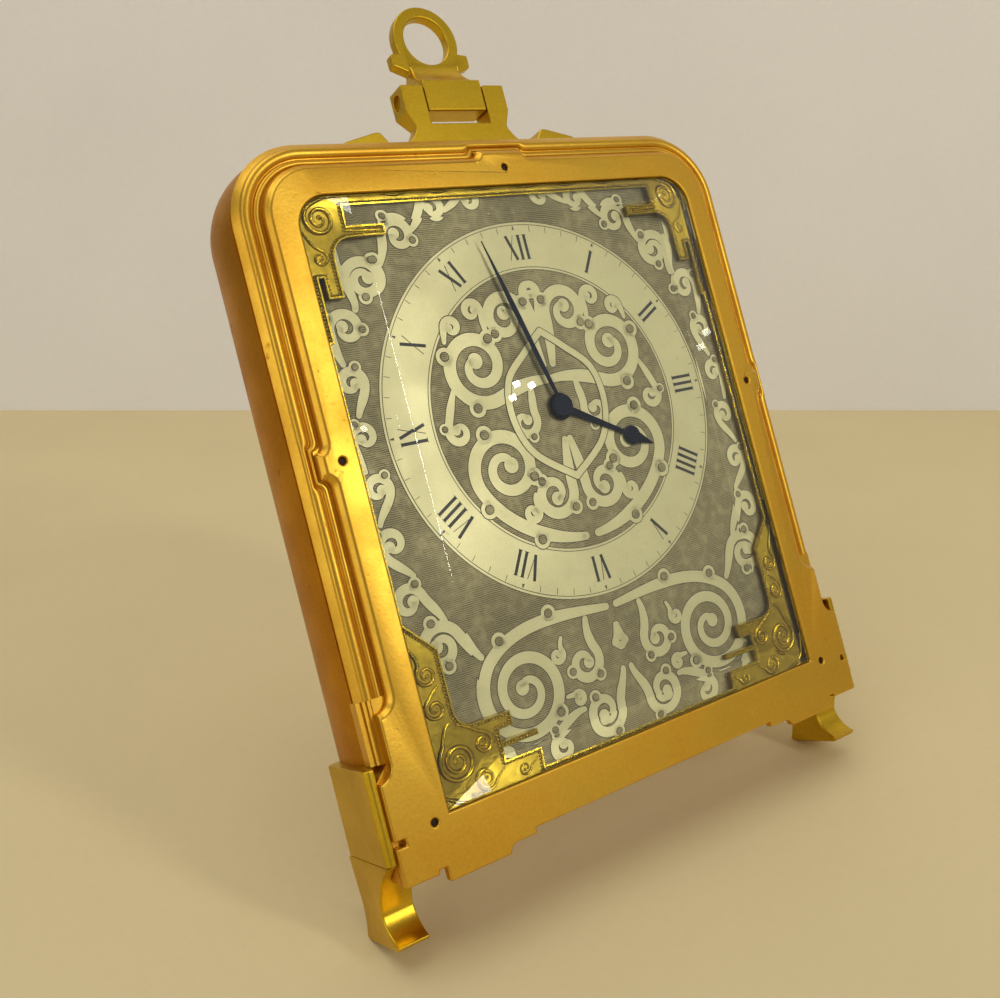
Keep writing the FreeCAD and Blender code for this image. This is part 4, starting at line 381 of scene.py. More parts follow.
class Form:
    """Faces drawn in dial coordinates, which become one piece."""

    BEAD_RINGS = (0.55, 1.0)

    def __init__(self) -> None:
        """Starts empty."""
        self.points: list[Vector] = []
        self.faces: list[Face] = []

    def add(self, points: list[Point], faces: list[Face]) -> None:
        """Adds faces over points.

        Args:
            points: the points as right, up and depth.
            faces: the faces, each as the places of its corners in the list of points.
        """
        start = len(self.points)
        self.points += [STANCE.point(*point) for point in points]
        self.faces += [tuple(start + index for index in face) for face in faces]

    def slab(self, outline: list[Flat], front: float, back: float) -> None:
        """Adds a flat solid between two depths.

        Args:
            outline: its outline.
            front: depth of its face.
            back: depth of its back.
        """
        count = len(outline)
        points = [(x, z, front) for x, z in outline] + [(x, z, back) for x, z in outline]
        sides = [(i, (i + 1) % count, count + (i + 1) % count, count + i) for i in range(count)]
        self.add(points, [tuple(range(count)), tuple(range(2 * count - 1, count - 1, -1))] + sides)

    def disc(self, centre: Flat, radius: float, front: float, back: float, squeeze: float = 1.0,
             turn: float = 0.0, steps: int = 24) -> None:
        """Adds a round or oval slab.

        Args:
            centre: its middle.
            radius: its long half.
            front: depth of its face.
            back: depth of its back.
            squeeze: its short half over its long half.
            turn: the long half's angle in degrees.
            steps: the number of its sides.
        """
        lean = math.radians(turn)
        outline = []
        for step in range(steps):
            angle = 2 * math.pi * step / steps
            x, z = radius * math.cos(angle), radius * squeeze * math.sin(angle)
            outline.append((centre[0] + x * math.cos(lean) - z * math.sin(lean),
                            centre[1] + x * math.sin(lean) + z * math.cos(lean)))
        self.slab(outline, front, back)

    def band(self, inner: list[Flat], outer: list[Flat], front: float, back: float) -> None:
        """Adds a closed band between two outlines.

        Args:
            inner: the inner outline.
            outer: the outer one, with as many points.
            front: depth of its face.
            back: depth of its back.
        """
        count = len(inner)
        points = ([(x, z, front) for x, z in inner] + [(x, z, front) for x, z in outer]
                  + [(x, z, back) for x, z in inner] + [(x, z, back) for x, z in outer])
        faces = []
        for i in range(count):
            j = (i + 1) % count
            faces += [(i, j, count + j, count + i),
                      (2 * count + i, 3 * count + i, 3 * count + j, 2 * count + j),
                      (i, 2 * count + i, 2 * count + j, j),
                      (count + i, count + j, 3 * count + j, 3 * count + i)]
        self.add(points, faces)

    def ribbon(self, line: list[Flat], halves: list[float], front: float, back: float) -> None:
        """Adds a flat band along a line.

        Args:
            line: its middle line.
            halves: its half width at each point.
            front: depth of its face.
            back: depth of its back.
        """
        points: list[Point] = []
        for index, (x, z) in enumerate(line):
            nx, nz = normal_at(line, index)
            half = halves[index]
            for depth in (front, back):
                points += [(x + nx * half, z + nz * half, depth), (x - nx * half, z - nz * half, depth)]
        faces = [(0, 1, 3, 2)]
        for i in range(len(line) - 1):
            a, b = 4 * i, 4 * i + 4
            faces += [(a, b, b + 1, a + 1), (a + 2, a + 3, b + 3, b + 2),
                      (a, a + 2, b + 2, b), (a + 1, b + 1, b + 3, a + 3)]
        last = 4 * (len(line) - 1)
        faces.append((last, last + 2, last + 3, last + 1))
        self.add(points, faces)

    def relief(self, line: list[Flat], halves: list[float], base: float, lift: float = 1.3,
               sides: int = 6) -> None:
        """Adds a half-round raised band that stands forward of a base depth.

        Args:
            line: its middle line.
            halves: its half width at each point.
            base: the depth that it stands on.
            lift: its height over its half width.
            sides: the facets across it.
        """
        points: list[Point] = []
        for index, (x, z) in enumerate(line):
            nx, nz = normal_at(line, index)
            half = halves[index]
            for step in range(sides + 1):
                angle = math.pi * step / sides
                across, rise = half * math.cos(angle), lift * half * math.sin(angle)
                points.append((x + nx * across, z + nz * across, base - rise))
        row = sides + 1
        faces = [tuple(range(row))]
        for i in range(len(line) - 1):
            for step in range(sides):
                a, b = row * i + step, row * (i + 1) + step
                faces.append((a, b, b + 1, a + 1))
            faces.append((row * i + sides, row * (i + 1) + sides, row * (i + 1), row * i))
        faces.append(tuple(range(row * len(line) - 1, row * (len(line) - 1) - 1, -1)))
        self.add(points, faces)

    def bead(self, centre: Flat, radius: float, base: float, sides: int = 8) -> None:
        """Adds a small dome that stands forward of a base depth.

        Args:
            centre: its middle.
            radius: its radius and height.
            base: the depth that it stands on.
            sides: the facets round it.
        """
        points = [(centre[0], centre[1], base - radius)]
        for ring in self.BEAD_RINGS:
            rise = math.sqrt(1 - ring * ring)
            for step in range(sides):
                angle = 2 * math.pi * step / sides
                points.append((centre[0] + radius * ring * math.cos(angle),
                               centre[1] + radius * ring * math.sin(angle), base - radius * rise))
        faces = [(0, 1 + i, 1 + (i + 1) % sides) for i in range(sides)]
        faces += [(1 + i, 1 + sides + i, 1 + sides + (i + 1) % sides, 1 + (i + 1) % sides)
                  for i in range(sides)]
        faces.append(tuple(range(2 * sides, sides, -1)))
        self.add(points, faces)

    def piece(self, name: str, material: bpy.types.Material, slot: str, body: str = "case",
              replaces: tuple[str, ...] = (), smooth: float | None = None) -> bpy.types.Object:
        """Makes the piece.

        Args:
            name: the piece's name.
            material: its finish.
            slot: the record's material slot; not used.
            body: the body that it rides on.
            replaces: the nodes that it stands for.
            smooth: the angle in degrees below which neighbouring faces shade smoothly.

        Returns:
            The new object.
        """
        mesh = bpy.data.meshes.new(name)
        mesh.from_pydata(self.points, [], self.faces)
        work = bmesh.new()
        work.from_mesh(mesh)
        bmesh.ops.recalc_face_normals(work, faces=work.faces)
        work.to_mesh(mesh)
        work.free()
        if smooth is not None:
            mesh.shade_smooth()
            mesh.set_sharp_from_angle(angle=math.radians(smooth))
        return place(name, mesh, material, body, replaces)


def new_object(name: str, data: bpy.types.ID) -> bpy.types.Object:
    """Makes an object from its data and puts it in the scene.

    Args:
        name: its name.
        data: its mesh, lamp or camera.

    Returns:
        The new object.
    """
    made = bpy.data.objects.new(name, data)
    bpy.context.scene.collection.objects.link(made)
    return made


def place(name: str, mesh: bpy.types.Mesh, material: bpy.types.Material, body: str,
          replaces: tuple[str, ...]) -> bpy.types.Object:
    """Places a mesh as a piece on its body, with its finish, and reports it.

    Args:
        name: the piece's name.
        mesh: its mesh.
        material: its finish.
        body: the body that it rides on.
        replaces: the nodes that it stands for.

    Returns:
        The new object.
    """
    piece = new_object(name, mesh)
    mesh.materials.clear()
    mesh.materials.append(material)
    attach(piece, body)
    if replaces:
        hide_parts(*replaces)
    log.info("%s: %d faces on %s", name, len(mesh.polygons), body)
    return piece


def quarter(centre: Flat, across: float, up: float, start: float) -> list[Flat]:
    """Points on a quarter of an oval, anticlockwise from an angle in degrees."""
    angles = [math.radians(start + 90 * k / 8) for k in range(9)]
    return [(centre[0] + across * math.cos(angle), centre[1] + up * math.sin(angle)) for angle in angles]


def inset(line: list[Flat], distance: float) -> list[Flat]:
    """Moves a line to the right of the way it runs, with its corners kept.

    Args:
        line: the line.
        distance: how far it moves.

    Returns:
        The moved line, with as many points.
    """
    sides = []
    for start, end in zip(line, line[1:]):
        length = math.hypot(end[0] - start[0], end[1] - start[1])
        sides.append(((end[1] - start[1]) / length, (start[0] - end[0]) / length))
    moved = []
    for (x, z), before, after in zip(line, sides[:1] + sides, sides + sides[-1:]):
        share = distance / (1 + before[0] * after[0] + before[1] * after[1])
        moved.append((x + share * (before[0] + after[0]), z + share * (before[1] + after[1])))
    return moved


def normal_at(line: list[Flat], index: int) -> Flat:
    """Finds which way lies left of the way a line runs.

    Args:
        line: the line.
        index: the place of one of its points.

    Returns:
        The unit normal at that point.
    """
    ahead, behind = line[min(index + 1, len(line) - 1)], line[max(index - 1, 0)]
    dx, dz = ahead[0] - behind[0], ahead[1] - behind[1]
    length = math.hypot(dx, dz) or 1.0
    return -dz / length, dx / length


# Millimetres between points that are one, and degrees between faces that are one
WELD = 0.002
FLAT_ANGLE = 1.0


def soften(node: str, material: bpy.types.Material, width: float, body: str = "case",
           segments: int = 3, angle: float = 30.0) -> bpy.types.Object:
    """Replaces a node by a copy whose sharp edges are rounded.

    Args:
        node: the node's name.
        material: the copy's finish.
        width: how far the rounding reaches from each edge, in millimetres.
        body: the body that it rides on.
        segments: the facets across a rounding.
        angle: the least angle in degrees between two faces that counts as an edge.

    Returns:
        The copy.
    """
    source = frame["nodes"][node]
    work = bmesh.new()
    work.from_mesh(source.data)
    bmesh.ops.transform(work, matrix=source.matrix_world, verts=work.verts)
    bmesh.ops.remove_doubles(work, verts=work.verts, dist=WELD * MM)
    bmesh.ops.dissolve_limit(work, angle_limit=math.radians(FLAT_ANGLE), verts=work.verts, edges=work.edges)
    mesh = bpy.data.meshes.new(node + "_worked")
    work.to_mesh(mesh)
    work.free()
    mesh.shade_smooth()
    mesh.set_sharp_from_angle(angle=math.radians(angle))
    piece = place(node + "_worked", mesh, material, body, (node,))
    edges = piece.modifiers.new("soft_edges", "BEVEL")
    edges.width = width * MM
    edges.segments = segments
    edges.limit_method = "ANGLE"
    edges.angle_limit = math.radians(angle)
    edges.use_clamp_overlap = False
    edges.harden_normals = True
    return piece


def dress(material: bpy.types.Material, *nodes: str) -> None:
    """Gives nodes that keep their own shape a finish.

    Args:
        material: the finish.
        nodes: the nodes' names.
    """
    for node in nodes:
        mesh = frame["nodes"][node].data
        mesh.materials.clear()
        mesh.materials.append(material)
        log.info("%s: dressed", node)


# The case

@dataclass
class Mouldings:
    """The stepped mouldings under the front plate, which break forward at the three tabs."""

    half: float = 41.0
    top: float = 40.4
    corner: float = 8.0
    corner_steps: int = 24
    low: float = 34.2
    opening_half: float = 37.9
    leg_half: float = 43.0
    leg_low: float = 43.0
    foot_half: float = 45.2
    foot_top: float = 45.2
    foot: float = 59.0
    sill: float = 53.3
    leg_steps: tuple[Point, ...] = ((43.0, 43.5, 1.7), (43.5, 44.1, 2.05), (44.1, 44.9, 2.5))
    tab_out: float = 1.3
    tab_reach: float = 2.95
    side_tab: Flat = (-3.9, 0.2)
    top_tab: Flat = (-4.2, 4.2)
    back: float = 4.5
    thick: float = 1.5
    step: float = 0.22
    spread: float = 0.45

    def section(self) -> list[Flat]:
        """Lists the corners of the moulding's section.

        Returns:
            Distances out from the plate's edge, each with its depth.
        """
        rows = [(-2.0, self.thick + OVERLAP), (0.0, self.thick + OVERLAP), (0.0, 1.85)]
        rows += self._round(0.18, 1.12, 1.88, 0.34)
        rows += [(1.22, 1.98)]
        rows += self._round(1.35, 2.95, 1.95, 0.52)
        rows += [(3.08, 2.05), (3.9, 3.0), (3.6, 3.5), (3.4, 3.6), (3.4, self.back)]
        return rows

    @staticmethod
    def _round(start: float, end: float, floor: float, rise: float) -> list[Flat]:
        """Draws a rounded bead of the section.

        Args:
            start: the distance at which it begins.
            end: the distance at which it ends.
            floor: the depth that it stands on.
            rise: its height.

        Returns:
            Distances with their depths.
        """
        middle, half = (start + end) / 2, (end - start) / 2
        angles = [math.pi * k / 8 for k in range(9)]
        return [(middle - half * math.cos(angle), floor - rise * math.sin(angle)) for angle in angles]

    def _shift(self, along: float, tab: Flat, offset: float) -> float:
        """Finds how far a row moves out at a tab, which has a cove on either side.

        Args:
            along: the place along the edge.
            tab: where the tab begins and ends.
            offset: the row's own distance out.

        Returns:
            The added distance out.
        """
        weight = max(0.0, 1 - max(offset, 0.0) / self.tab_reach)
        rise = self.tab_out * weight
        if rise <= 0:
            return 0.0
        spread = self.spread * max(offset, 0.0)
        low, high = tab[0] - spread, tab[1] + spread
        if low <= along <= high:
            return rise
        gap = low - along if along < low else along - high
        radius = self.tab_out
        if gap >= radius:
            return 0.0
        return rise * (1 - math.sqrt(1 - (1 - gap / radius) ** 2))

    def _stations(self) -> list[tuple[Flat, Flat, float, Flat | None]]:
        """Steps round the plate's edge, up the left side and down the right one.

        Returns:
            Each point with the way out, the place along its edge and the tab there, if any.
        """
        stations = []
        side = int((self.top - self.corner + self.low) / self.step)
        for k in range(side + 1):
            z = -self.low + k * (self.top - self.corner + self.low) / side
            stations.append(((-self.half, z), (-1.0, 0.0), z, self.side_tab))
        centre = self.half - self.corner, self.top - self.corner
        for k in range(1, self.corner_steps):
            angle = math.pi - k * math.pi / (2 * self.corner_steps)
            out = math.cos(angle), math.sin(angle)
            spot = -centre[0] + self.corner * out[0], centre[1] + self.corner * out[1]
            stations.append((spot, out, 0.0, None))
        half = [((-x, z), (-ox, oz), along, tab) for (x, z), (ox, oz), along, tab in reversed(stations)]
        across = int(2 * centre[0] / self.step)
        for k in range(across + 1):
            x = -centre[0] + k * 2 * centre[0] / across
            stations.append(((x, self.top), (0.0, 1.0), x, self.top_tab))
        return stations + half

    def build(self) -> None:
        """Builds the mouldings and the lower part of the frame as one piece."""
        form = Form()
        rows = self.section()
        points = []
        stations = self._stations()
        for (x, z), (ox, oz), along, tab in stations:
            for offset, depth in rows:
                out = offset + (self._shift(along, tab, offset) if tab else 0.0)
                points.append((x + ox * out, z + oz * out, depth))
        count = len(rows)
        faces = []
        for i in range(len(stations) - 1):
            for k in range(count - 1):
                a, b = i * count + k, (i + 1) * count + k
                faces.append((a, b, b + 1, a + 1))
        faces.append(tuple(range(count)))
        last = (len(stations) - 1) * count
        faces.append(tuple(range(last + count - 1, last - 1, -1)))
        form.add(points, faces)
        self._foot(form)
        form.piece("bead_mouldings", PALETTE.plate, "band_gilt", replaces=("bead_frame",), smooth=38)

    def _foot(self, form: Form) -> None:
        """Adds the frame's legs with their steps, and the sill between them.

        Args:
            form: the form that they are added to.
        """
        inner, leg, foot = self.opening_half, self.leg_half, self.foot_half
        front = self.thick + OVERLAP
        for side in (-1, 1):
            outline = [(inner, -self.low), (leg, -self.low), (leg, -self.leg_low), (foot, -self.foot_top),
                       (foot, -self.foot), (inner, -self.foot)]
            form.slab([(side * x, z) for x, z in outline], front, self.back)
            for near, far, depth in self.leg_steps:
                outline = [(near, -self.low), (far, -self.low), (far, -self.leg_low), (near, -self.leg_low)]
                form.slab([(side * x, z) for x, z in outline], depth, self.back)
        form.slab([(-inner, -self.sill), (inner, -self.sill), (inner, -self.foot), (-inner, -self.foot)],
                  front, self.back)


@dataclass
class Case:
    """Plate, band, blocks, feet, crest and ring, with the width to which their edges are rounded."""

    plate_edge: float = 0.28
    crest_edge: float = 0.22
    ring_edge: float = 0.3
    block_edge: float = 0.22
    foot_edge: float = 0.3

    def build(self) -> None:
        """Builds the case."""
        Mouldings().build()
        soften("front_plate", PALETTE.plate, self.plate_edge)
        soften("crest_plate", PALETTE.brass, self.crest_edge)
        soften("suspension_ring", PALETTE.brass, self.ring_edge, "ring")
        for side in ("left", "right"):
            soften(f"side_block_{side}", PALETTE.brass, self.block_edge)
            soften(f"foot_{side}", PALETTE.brass, self.foot_edge)
        # The band, back and floor take the gilt with painted shade.
        dress(PALETTE.band, "case_band", "case_back", "case_floor")
        dress(PALETTE.dark, "plate_pins")
        dress(PALETTE.brass, "ring_pin")


# Drawing scrolls, whose points lie this far apart in millimetres
SPACING = 0.5


@dataclass(frozen=True)
class Scroll:
    """A stem that leaves its root along a way, in degrees, and runs into a spiral with a round eye.

    Positive turns run anticlockwise. The start is the angle, in degrees, at which the spiral begins.
    Lobes are set on the outside of the curve, at parts of its length.
    """

    root: Flat
    way: float
    eye: Flat
    reach: float
    start: float
    turns: float
    wide: float = 1.8
    lobes: tuple[float, ...] = ()
    over: bool = False

    ROOT_SHARE = 0.3
    EYE_SHARE = 0.6
    EYE_TURN = 0.45
    WINDING = 0.9
    ROOT_WIDTH = 0.6
    GROWTH = 0.3
    TAPER_FROM = 0.5
    TAPER = 0.45
    LOBE_OUT = 0.95

    def ends(self) -> tuple[float, float]:
        """The radius of the round root and of the eye."""
        return self.wide * self.ROOT_SHARE, self.wide * self.EYE_SHARE

    def line(self, mirror: int = 1) -> Drawn:
        """The middle line and the half width at each of its points.

        Args:
            mirror: 1 as drawn, or -1 for the other side of the dial.

        Returns:
            The points and the half widths.
        """
        first = self._spiral(0.0)
        turn = self.start + math.copysign(90, self.turns)
        length = math.dist(self.root, first)
        pull = [(length * math.cos(math.radians(angle)), length * math.sin(math.radians(angle)))
                for angle in (self.way, turn)]
        points = []
        pieces = max(2, int(length / SPACING))
        for k in range(pieces):
            t = k / pieces
            a, b = 2 * t ** 3 - 3 * t * t + 1, t ** 3 - 2 * t * t + t
            c, d = 3 * t * t - 2 * t ** 3, t ** 3 - t * t
            points.append(tuple(a * r + b * p + c * f + d * q
                                for r, p, f, q in zip(self.root, pull[0], first, pull[1])))
        steps = max(8, int(abs(self.turns) * (20 + 5 * self.reach)))
        points += [self._spiral(k / steps) for k in range(steps + 1)]
        halves = []
        for index in range(len(points)):
            part = index / (len(points) - 1)
            late = max(0.0, part - self.TAPER_FROM) / (1 - self.TAPER_FROM)
            growth = min(1.0, self.ROOT_WIDTH + part / self.GROWTH)
            halves.append(self.wide / 2 * growth * (1 - self.TAPER * late))
        return [(mirror * x, z) for x, z in points], halves

    def _spiral(self, part: float) -> Flat:
        """Finds a point of the spiral.

        Args:
            part: how far along it lies, from its outside at 0 to its eye at 1.

        Returns:
            The point.
        """
        angle = math.radians(self.start + 360 * self.turns * part)
        radius = self.reach * (1 - part) ** self.WINDING + self.wide * self.EYE_TURN * part
        return self.eye[0] + radius * math.cos(angle), self.eye[1] + radius * math.sin(angle)

    def lobe_spots(self, mirror: int = 1) -> list[Flat]:
        """Finds where the lobes sit.

        Args:
            mirror: 1 as drawn, or -1 for the other side of the dial.

        Returns:
            The middle of each lobe.
        """
        line, halves = self.line()
        spots = []
        for part in self.lobes:
            index = int(part * (len(line) - 1))
            nx, nz = normal_at(line, index)
            out = -math.copysign(halves[index] * self.LOBE_OUT, self.turns)
            spots.append((mirror * (line[index][0] + nx * out), line[index][1] + nz * out))
        return spots


@dataclass(frozen=True)
class Strap:
    """A band of even width through knots."""

    knots: tuple[Flat, ...]
    wide: float = 1.2
    over: bool = True

    def ends(self) -> tuple[float, float]:
        """The radius of its two round ends."""
        return self.wide / 2, self.wide / 2

    def line(self, mirror: int = 1) -> Drawn:
        """The middle line and the half width at each of its points.

        Args:
            mirror: 1 as drawn, or -1 for the other side of the dial.

        Returns:
            The points and the half widths.
        """
        points = []
        knots = self.knots
        for before, start, end, after in zip(knots[:1] + knots, knots, knots[1:], knots[2:] + knots[-1:]):
            pieces = max(2, int(math.dist(start, end) / SPACING))
            for k in range(pieces):
                t = k / pieces
                points.append(tuple(
                    0.5 * (2 * s + (e - b) * t + (2 * b - 5 * s + 4 * e - a) * t * t
                           + (3 * s - b - 3 * e + a) * t ** 3)
                    for b, s, e, a in zip(before, start, end, after)))
        points.append(knots[-1])
        return [(mirror * x, z) for x, z in points], [self.wide / 2] * len(points)

    def lobe_spots(self, mirror: int = 1) -> list[Flat]:
        """A strap has no lobes."""
        return []


@dataclass
class Dial:
    """The silvered dial: hatched ground, engraved scrolls, hour ring and numerals.

    Lifts are heights over the dial's face, and each scroll lies a layer above the one before it.
    """

    face: float = 3.4
    inner: float = 22.64
    outer: float = 30.0
    foot: float = 24.15
    head: float = 28.15
    edge_half: float = 37.4
    edge_top: float = 36.8
    edge_low: float = 52.8
    hole: float = 1.9
    cut: float = 0.15
    sunk: float = 0.01
    ground_lift: float = 0.008
    cut_lift: float = 0.012
    scroll_lift: float = 0.036
    over_lift: float = 0.055
    ring_lift: float = 0.125
    eyelet_lift: float = 0.130
    ink_lift: float = 0.03
    layer: float = 0.0004
    lobe_share: float = 0.68
    eyelet_share: float = 0.32
    eyelet_cut: float = 0.7
    circle_half: float = 0.055
    inner_gaps: tuple[float, ...] = (-0.2, 0.25)
    outer_gaps: tuple[float, ...] = (-0.15, 0.32)
    stroke_gap: float = 0.35
    minute_stroke: tuple[float, float, float] = (0.95, 0.04, 0.04)
    hour_stroke: tuple[float, float, float] = (0.6, 0.20, 0.08)
    thick_half: float = 0.25
    thin_half: float = 0.05
    serif_half: float = 0.035
    serif: float = 0.42
    v_foot: float = 0.05

    NAMES = ("XII", "I", "II", "III", "IIII", "V", "VI", "VII", "VIII", "IX", "X", "XI")
    WIDTHS = {"I": 1.15, "V": 2.1, "X": 2.2}
    CENTRE = (
        Scroll((0.0, 4.6), 8, (12.6, 8.4), 5.9, -110, 1.5, 2.1, (0.28, 0.42, 0.56)),
        Scroll((1.2, -20.7), 4, (12.2, -7.7), 5.9, -22, 1.5, 2.1, (0.14, 0.30, 0.46, 0.62)),
        Scroll((0.9, 7.0), 80, (5.8, 15.2), 3.9, 180, -1.25, 1.9, (0.30, 0.62)),
        Scroll((0.5, -5.2), -80, (4.9, -13.2), 3.6, 180, 1.2, 1.8, (0.34, 0.66)),
        Scroll((18.0, 5.2), -62, (18.7, -0.9), 1.8, 20, -0.95, 1.3, (0.3,)),
        Scroll((9.6, 13.2), 62, (11.4, 17.0), 1.5, 150, -0.95, 1.2),
        Scroll((4.4, 4.4), -95, (6.9, -1.4), 2.3, 165, 0.95, 1.4, (0.45,)),
        Scroll((8.4, -12.6), -60, (9.7, -15.2), 1.3, 170, 1, 1.2),
        Scroll((17.4, 12.8), 100, (15.6, 14.9), 1.3, 20, 0.95, 1.2),
        Scroll((0.4, 11.6), 95, (0.0, 18.9), 1.5, -20, 0.9, 1.2),
        Strap(((0.0, 12.4), (3.8, 9.4), (8.0, 5.4), (8.9, -0.6), (6.6, -6.4), (0.0, -11.2)), 1.1),
    )
    FIELD = (
        Scroll((1.0, -32.2), 6, (18.6, -40.4), 7.4, 48, -2, 1.9, (0.13, 0.24, 0.36, 0.47)),
        Scroll((24.6, -33.6), 52, (30.0, -30.6), 3.3, 150, -1.35, 1.7, (0.3, 0.6)),
        Scroll((5.4, -33.0), -75, (7.4, -39.4), 2.9, 150, 1.1, 1.6, (0.35, 0.6)),
        Scroll((0.8, -42.2), -80, (6.0, -47.4), 3.2, 180, 1.35, 1.6, (0.3, 0.6)),
        Scroll((9.6, -46.0), 5, (14.6, -49.8), 2.0, 70, -0.95, 1.4, (0.3,)),
        Scroll((19.4, -48.6), -40, (24.4, -48.8), 2.2, -110, 0.95, 1.5, (0.4,)),
        Scroll((28.4, -27.0), 70, (33.1, -23.2), 2.3, 160, -0.95, 1.5, (0.35,)),
        Scroll((31.4, -19.6), 50, (33.3, -14.6), 2.0, -10, 0.95, 1.4, (0.4,)),
        Scroll((34.4, -11.6), 110, (33.4, -6.6), 1.9, 180, -0.95, 1.3, (0.4,)),
        Scroll((34.6, -3.8), 80, (33.4, 1.0), 1.9, 0, 0.95, 1.3, (0.4,)),
        Scroll((33.4, 4.2), 110, (33.3, 9.0), 2.0, 180, -0.95, 1.4, (0.4,)),
        Scroll((33.8, 11.8), 70, (32.0, 16.8), 2.6, 0, 1.1, 1.5, (0.3, 0.6)),
        Scroll((29.9, 19.4), 110, (27.4, 23.6), 3.0, 20, 1.4, 1.6, (0.35, 0.6)),
        Scroll((24.6, 25.6), 120, (20.6, 29.6), 2.7, 0, 1.1, 1.5, (0.3, 0.6)),
        Scroll((18.0, 30.4), 140, (13.6, 33.0), 2.1, 20, 0.95, 1.4, (0.4,)),
        Scroll((11.6, 32.4), 150, (6.8, 33.8), 1.8, 40, 0.95, 1.3, (0.4,)),
        Scroll((30.4, 24.8), 60, (33.6, 29.6), 2.4, 180, -1.1, 1.4),
        Scroll((0.2, -35.2), -88, (0.0, -38.2), 1.1, 0, 0.8, 1.1),
        Scroll((10.6, -34.6), -60, (11.9, -37.0), 1.1, 150, 1, 1.0),
        Scroll((12.0, -43.4), 160, (10.0, -44.2), 1.0, 60, 1, 1.0),
        Scroll((26.6, -42.6), -60, (28.4, -46.0), 1.5, 160, 0.95, 1.2),
    )

    def build(self) -> None:
        """Builds everything on the dial."""
        dress(PALETTE.silver, "dial")
        self._ground()
        self._scrolls("dial_scrolls", self.CENTRE + self.FIELD)
        self._ring()
        self._numerals()

    def _circle(self, radius: float, steps: int = 180) -> list[Flat]:
        """Points round a circle about the dial's centre."""
        return [(radius * math.cos(2 * math.pi * k / steps), radius * math.sin(2 * math.pi * k / steps))
                for k in range(steps)]

    def _ground(self) -> None:
        """Hatched ground inside the inner circle and outside the outer one."""
        form = Form()
        front, back = self.face - self.ground_lift, self.face + self.sunk
        form.band(self._circle(self.hole), self._circle(self.inner - 0.25), front, back)
        edge = []
        for x, z in self._circle(1.0):
            high = self.edge_top if z > 0 else self.edge_low
            scale = min(self.edge_half / max(abs(x), 1e-6), high / max(abs(z), 1e-6))
            edge.append((x * scale, z * scale))
        form.band(self._circle(self.outer + 0.35), edge, front, back)
        form.piece("dial_ground", PALETTE.ground, "silvered")

    def _scrolls(self, name: str, scrolls: tuple[Scroll | Strap, ...]) -> None:
        """Builds bright scrolls with a fine cut line round each and round eyelets in their lobes.

        Args:
            name: the name of the bright piece, which the other two pieces' names start with.
            scrolls: the scrolls and straps of one half.
        """
        bright, lines, holes = Form(), Form(), Form()
        level = 0.0
        floor = self.face - self.ground_lift
        for scroll in sorted(scrolls, key=lambda one: one.over):
            level = max(level, self.over_lift) if scroll.over else level
            for mirror in (-1, 1):
                level += self.layer
                line, halves = scroll.line(mirror)
                low, high = self.face - self.cut_lift - level, self.face - self.scroll_lift - level
                lines.ribbon(line, [half + self.cut for half in halves], low, floor)
                bright.ribbon(line, halves, high, floor)
                spots = [(line[0], scroll.ends()[0]), (line[-1], scroll.ends()[1])]
                lobes = scroll.lobe_spots(mirror)
                for spot, size in spots + [(lobe, scroll.wide * self.lobe_share) for lobe in lobes]:
                    lines.disc(spot, size + self.cut, low, floor)
                    bright.disc(spot, size, high, floor)
                eyelet = scroll.wide * self.eyelet_share
                for lobe in lobes:
                    lines.disc(lobe, eyelet + self.cut * self.eyelet_cut, self.face - self.ring_lift, floor)
                    holes.disc(lobe, eyelet, self.face - self.eyelet_lift, floor)
        bright.piece(name, PALETTE.silver, "silvered")
        lines.piece(name + "_cut", PALETTE.cut, "silvered")
        holes.piece(name + "_eyelets", PALETTE.ground, "silvered")

    def _ring(self) -> None:
        """The circles round the hour ring and the minute strokes."""
        form = Form()
        front, half = self.face - self.ink_lift, self.circle_half
        circles = [self.inner + gap for gap in self.inner_gaps]
        circles += [self.outer + gap for gap in self.outer_gaps]
        for radius in circles:
            form.band(self._circle(radius - half), self._circle(radius + half), front, self.face)
        end = self.outer - self.stroke_gap
        for minute in range(60):
            angle = math.radians(90 - 6 * minute)
            long, *halves = self.minute_stroke if minute % 5 else self.hour_stroke
            line = [(radius * math.cos(angle), radius * math.sin(angle)) for radius in (end - long, end)]
            form.ribbon(line, halves, front, self.face)
        form.piece("dial_ring_lines", PALETTE.cut, "silvered")

    def _numerals(self) -> None:
        """Roman numerals with their feet towards the centre."""
        form = Form()
        for hour, name in enumerate(self.NAMES):
            turn = math.radians(-30 * hour)
            right, up = math.cos(turn), math.sin(turn)
            across = -sum(self.WIDTHS[letter] for letter in name) / 2
            for letter in name:
                width = self.WIDTHS[letter]
                middle = across + width / 2
                for stroke, half in self._letter(letter, width):
                    line = [((middle + x) * right - z * up, (middle + x) * up + z * right) for x, z in stroke]
                    form.ribbon(line, [half, half], self.face - self.ink_lift, self.face)
                across += width
        form.piece("dial_numerals", PALETTE.black, "silvered")

    def _letter(self, letter: str, width: float) -> list[tuple[list[Flat], float]]:
        """Draws a letter about its middle.

        Args:
            letter: I, V or X.
            width: the room that it takes.

        Returns:
            Its strokes, each with its half width.
        """
        low, high, serif = self.foot, self.head, self.serif
        reach = width / 2 - serif
        if letter == "I":
            return [([(0, low), (0, high)], self.thick_half)] + [
                ([(-serif, z), (serif, z)], self.serif_half) for z in (low, high)]
        thick, thin = (self.v_foot, self.v_foot) if letter == "V" else (reach, -reach)
        return [([(-reach, high), (thick, low)], self.thick_half),
                ([(reach, high), (thin, low)], self.thin_half)]


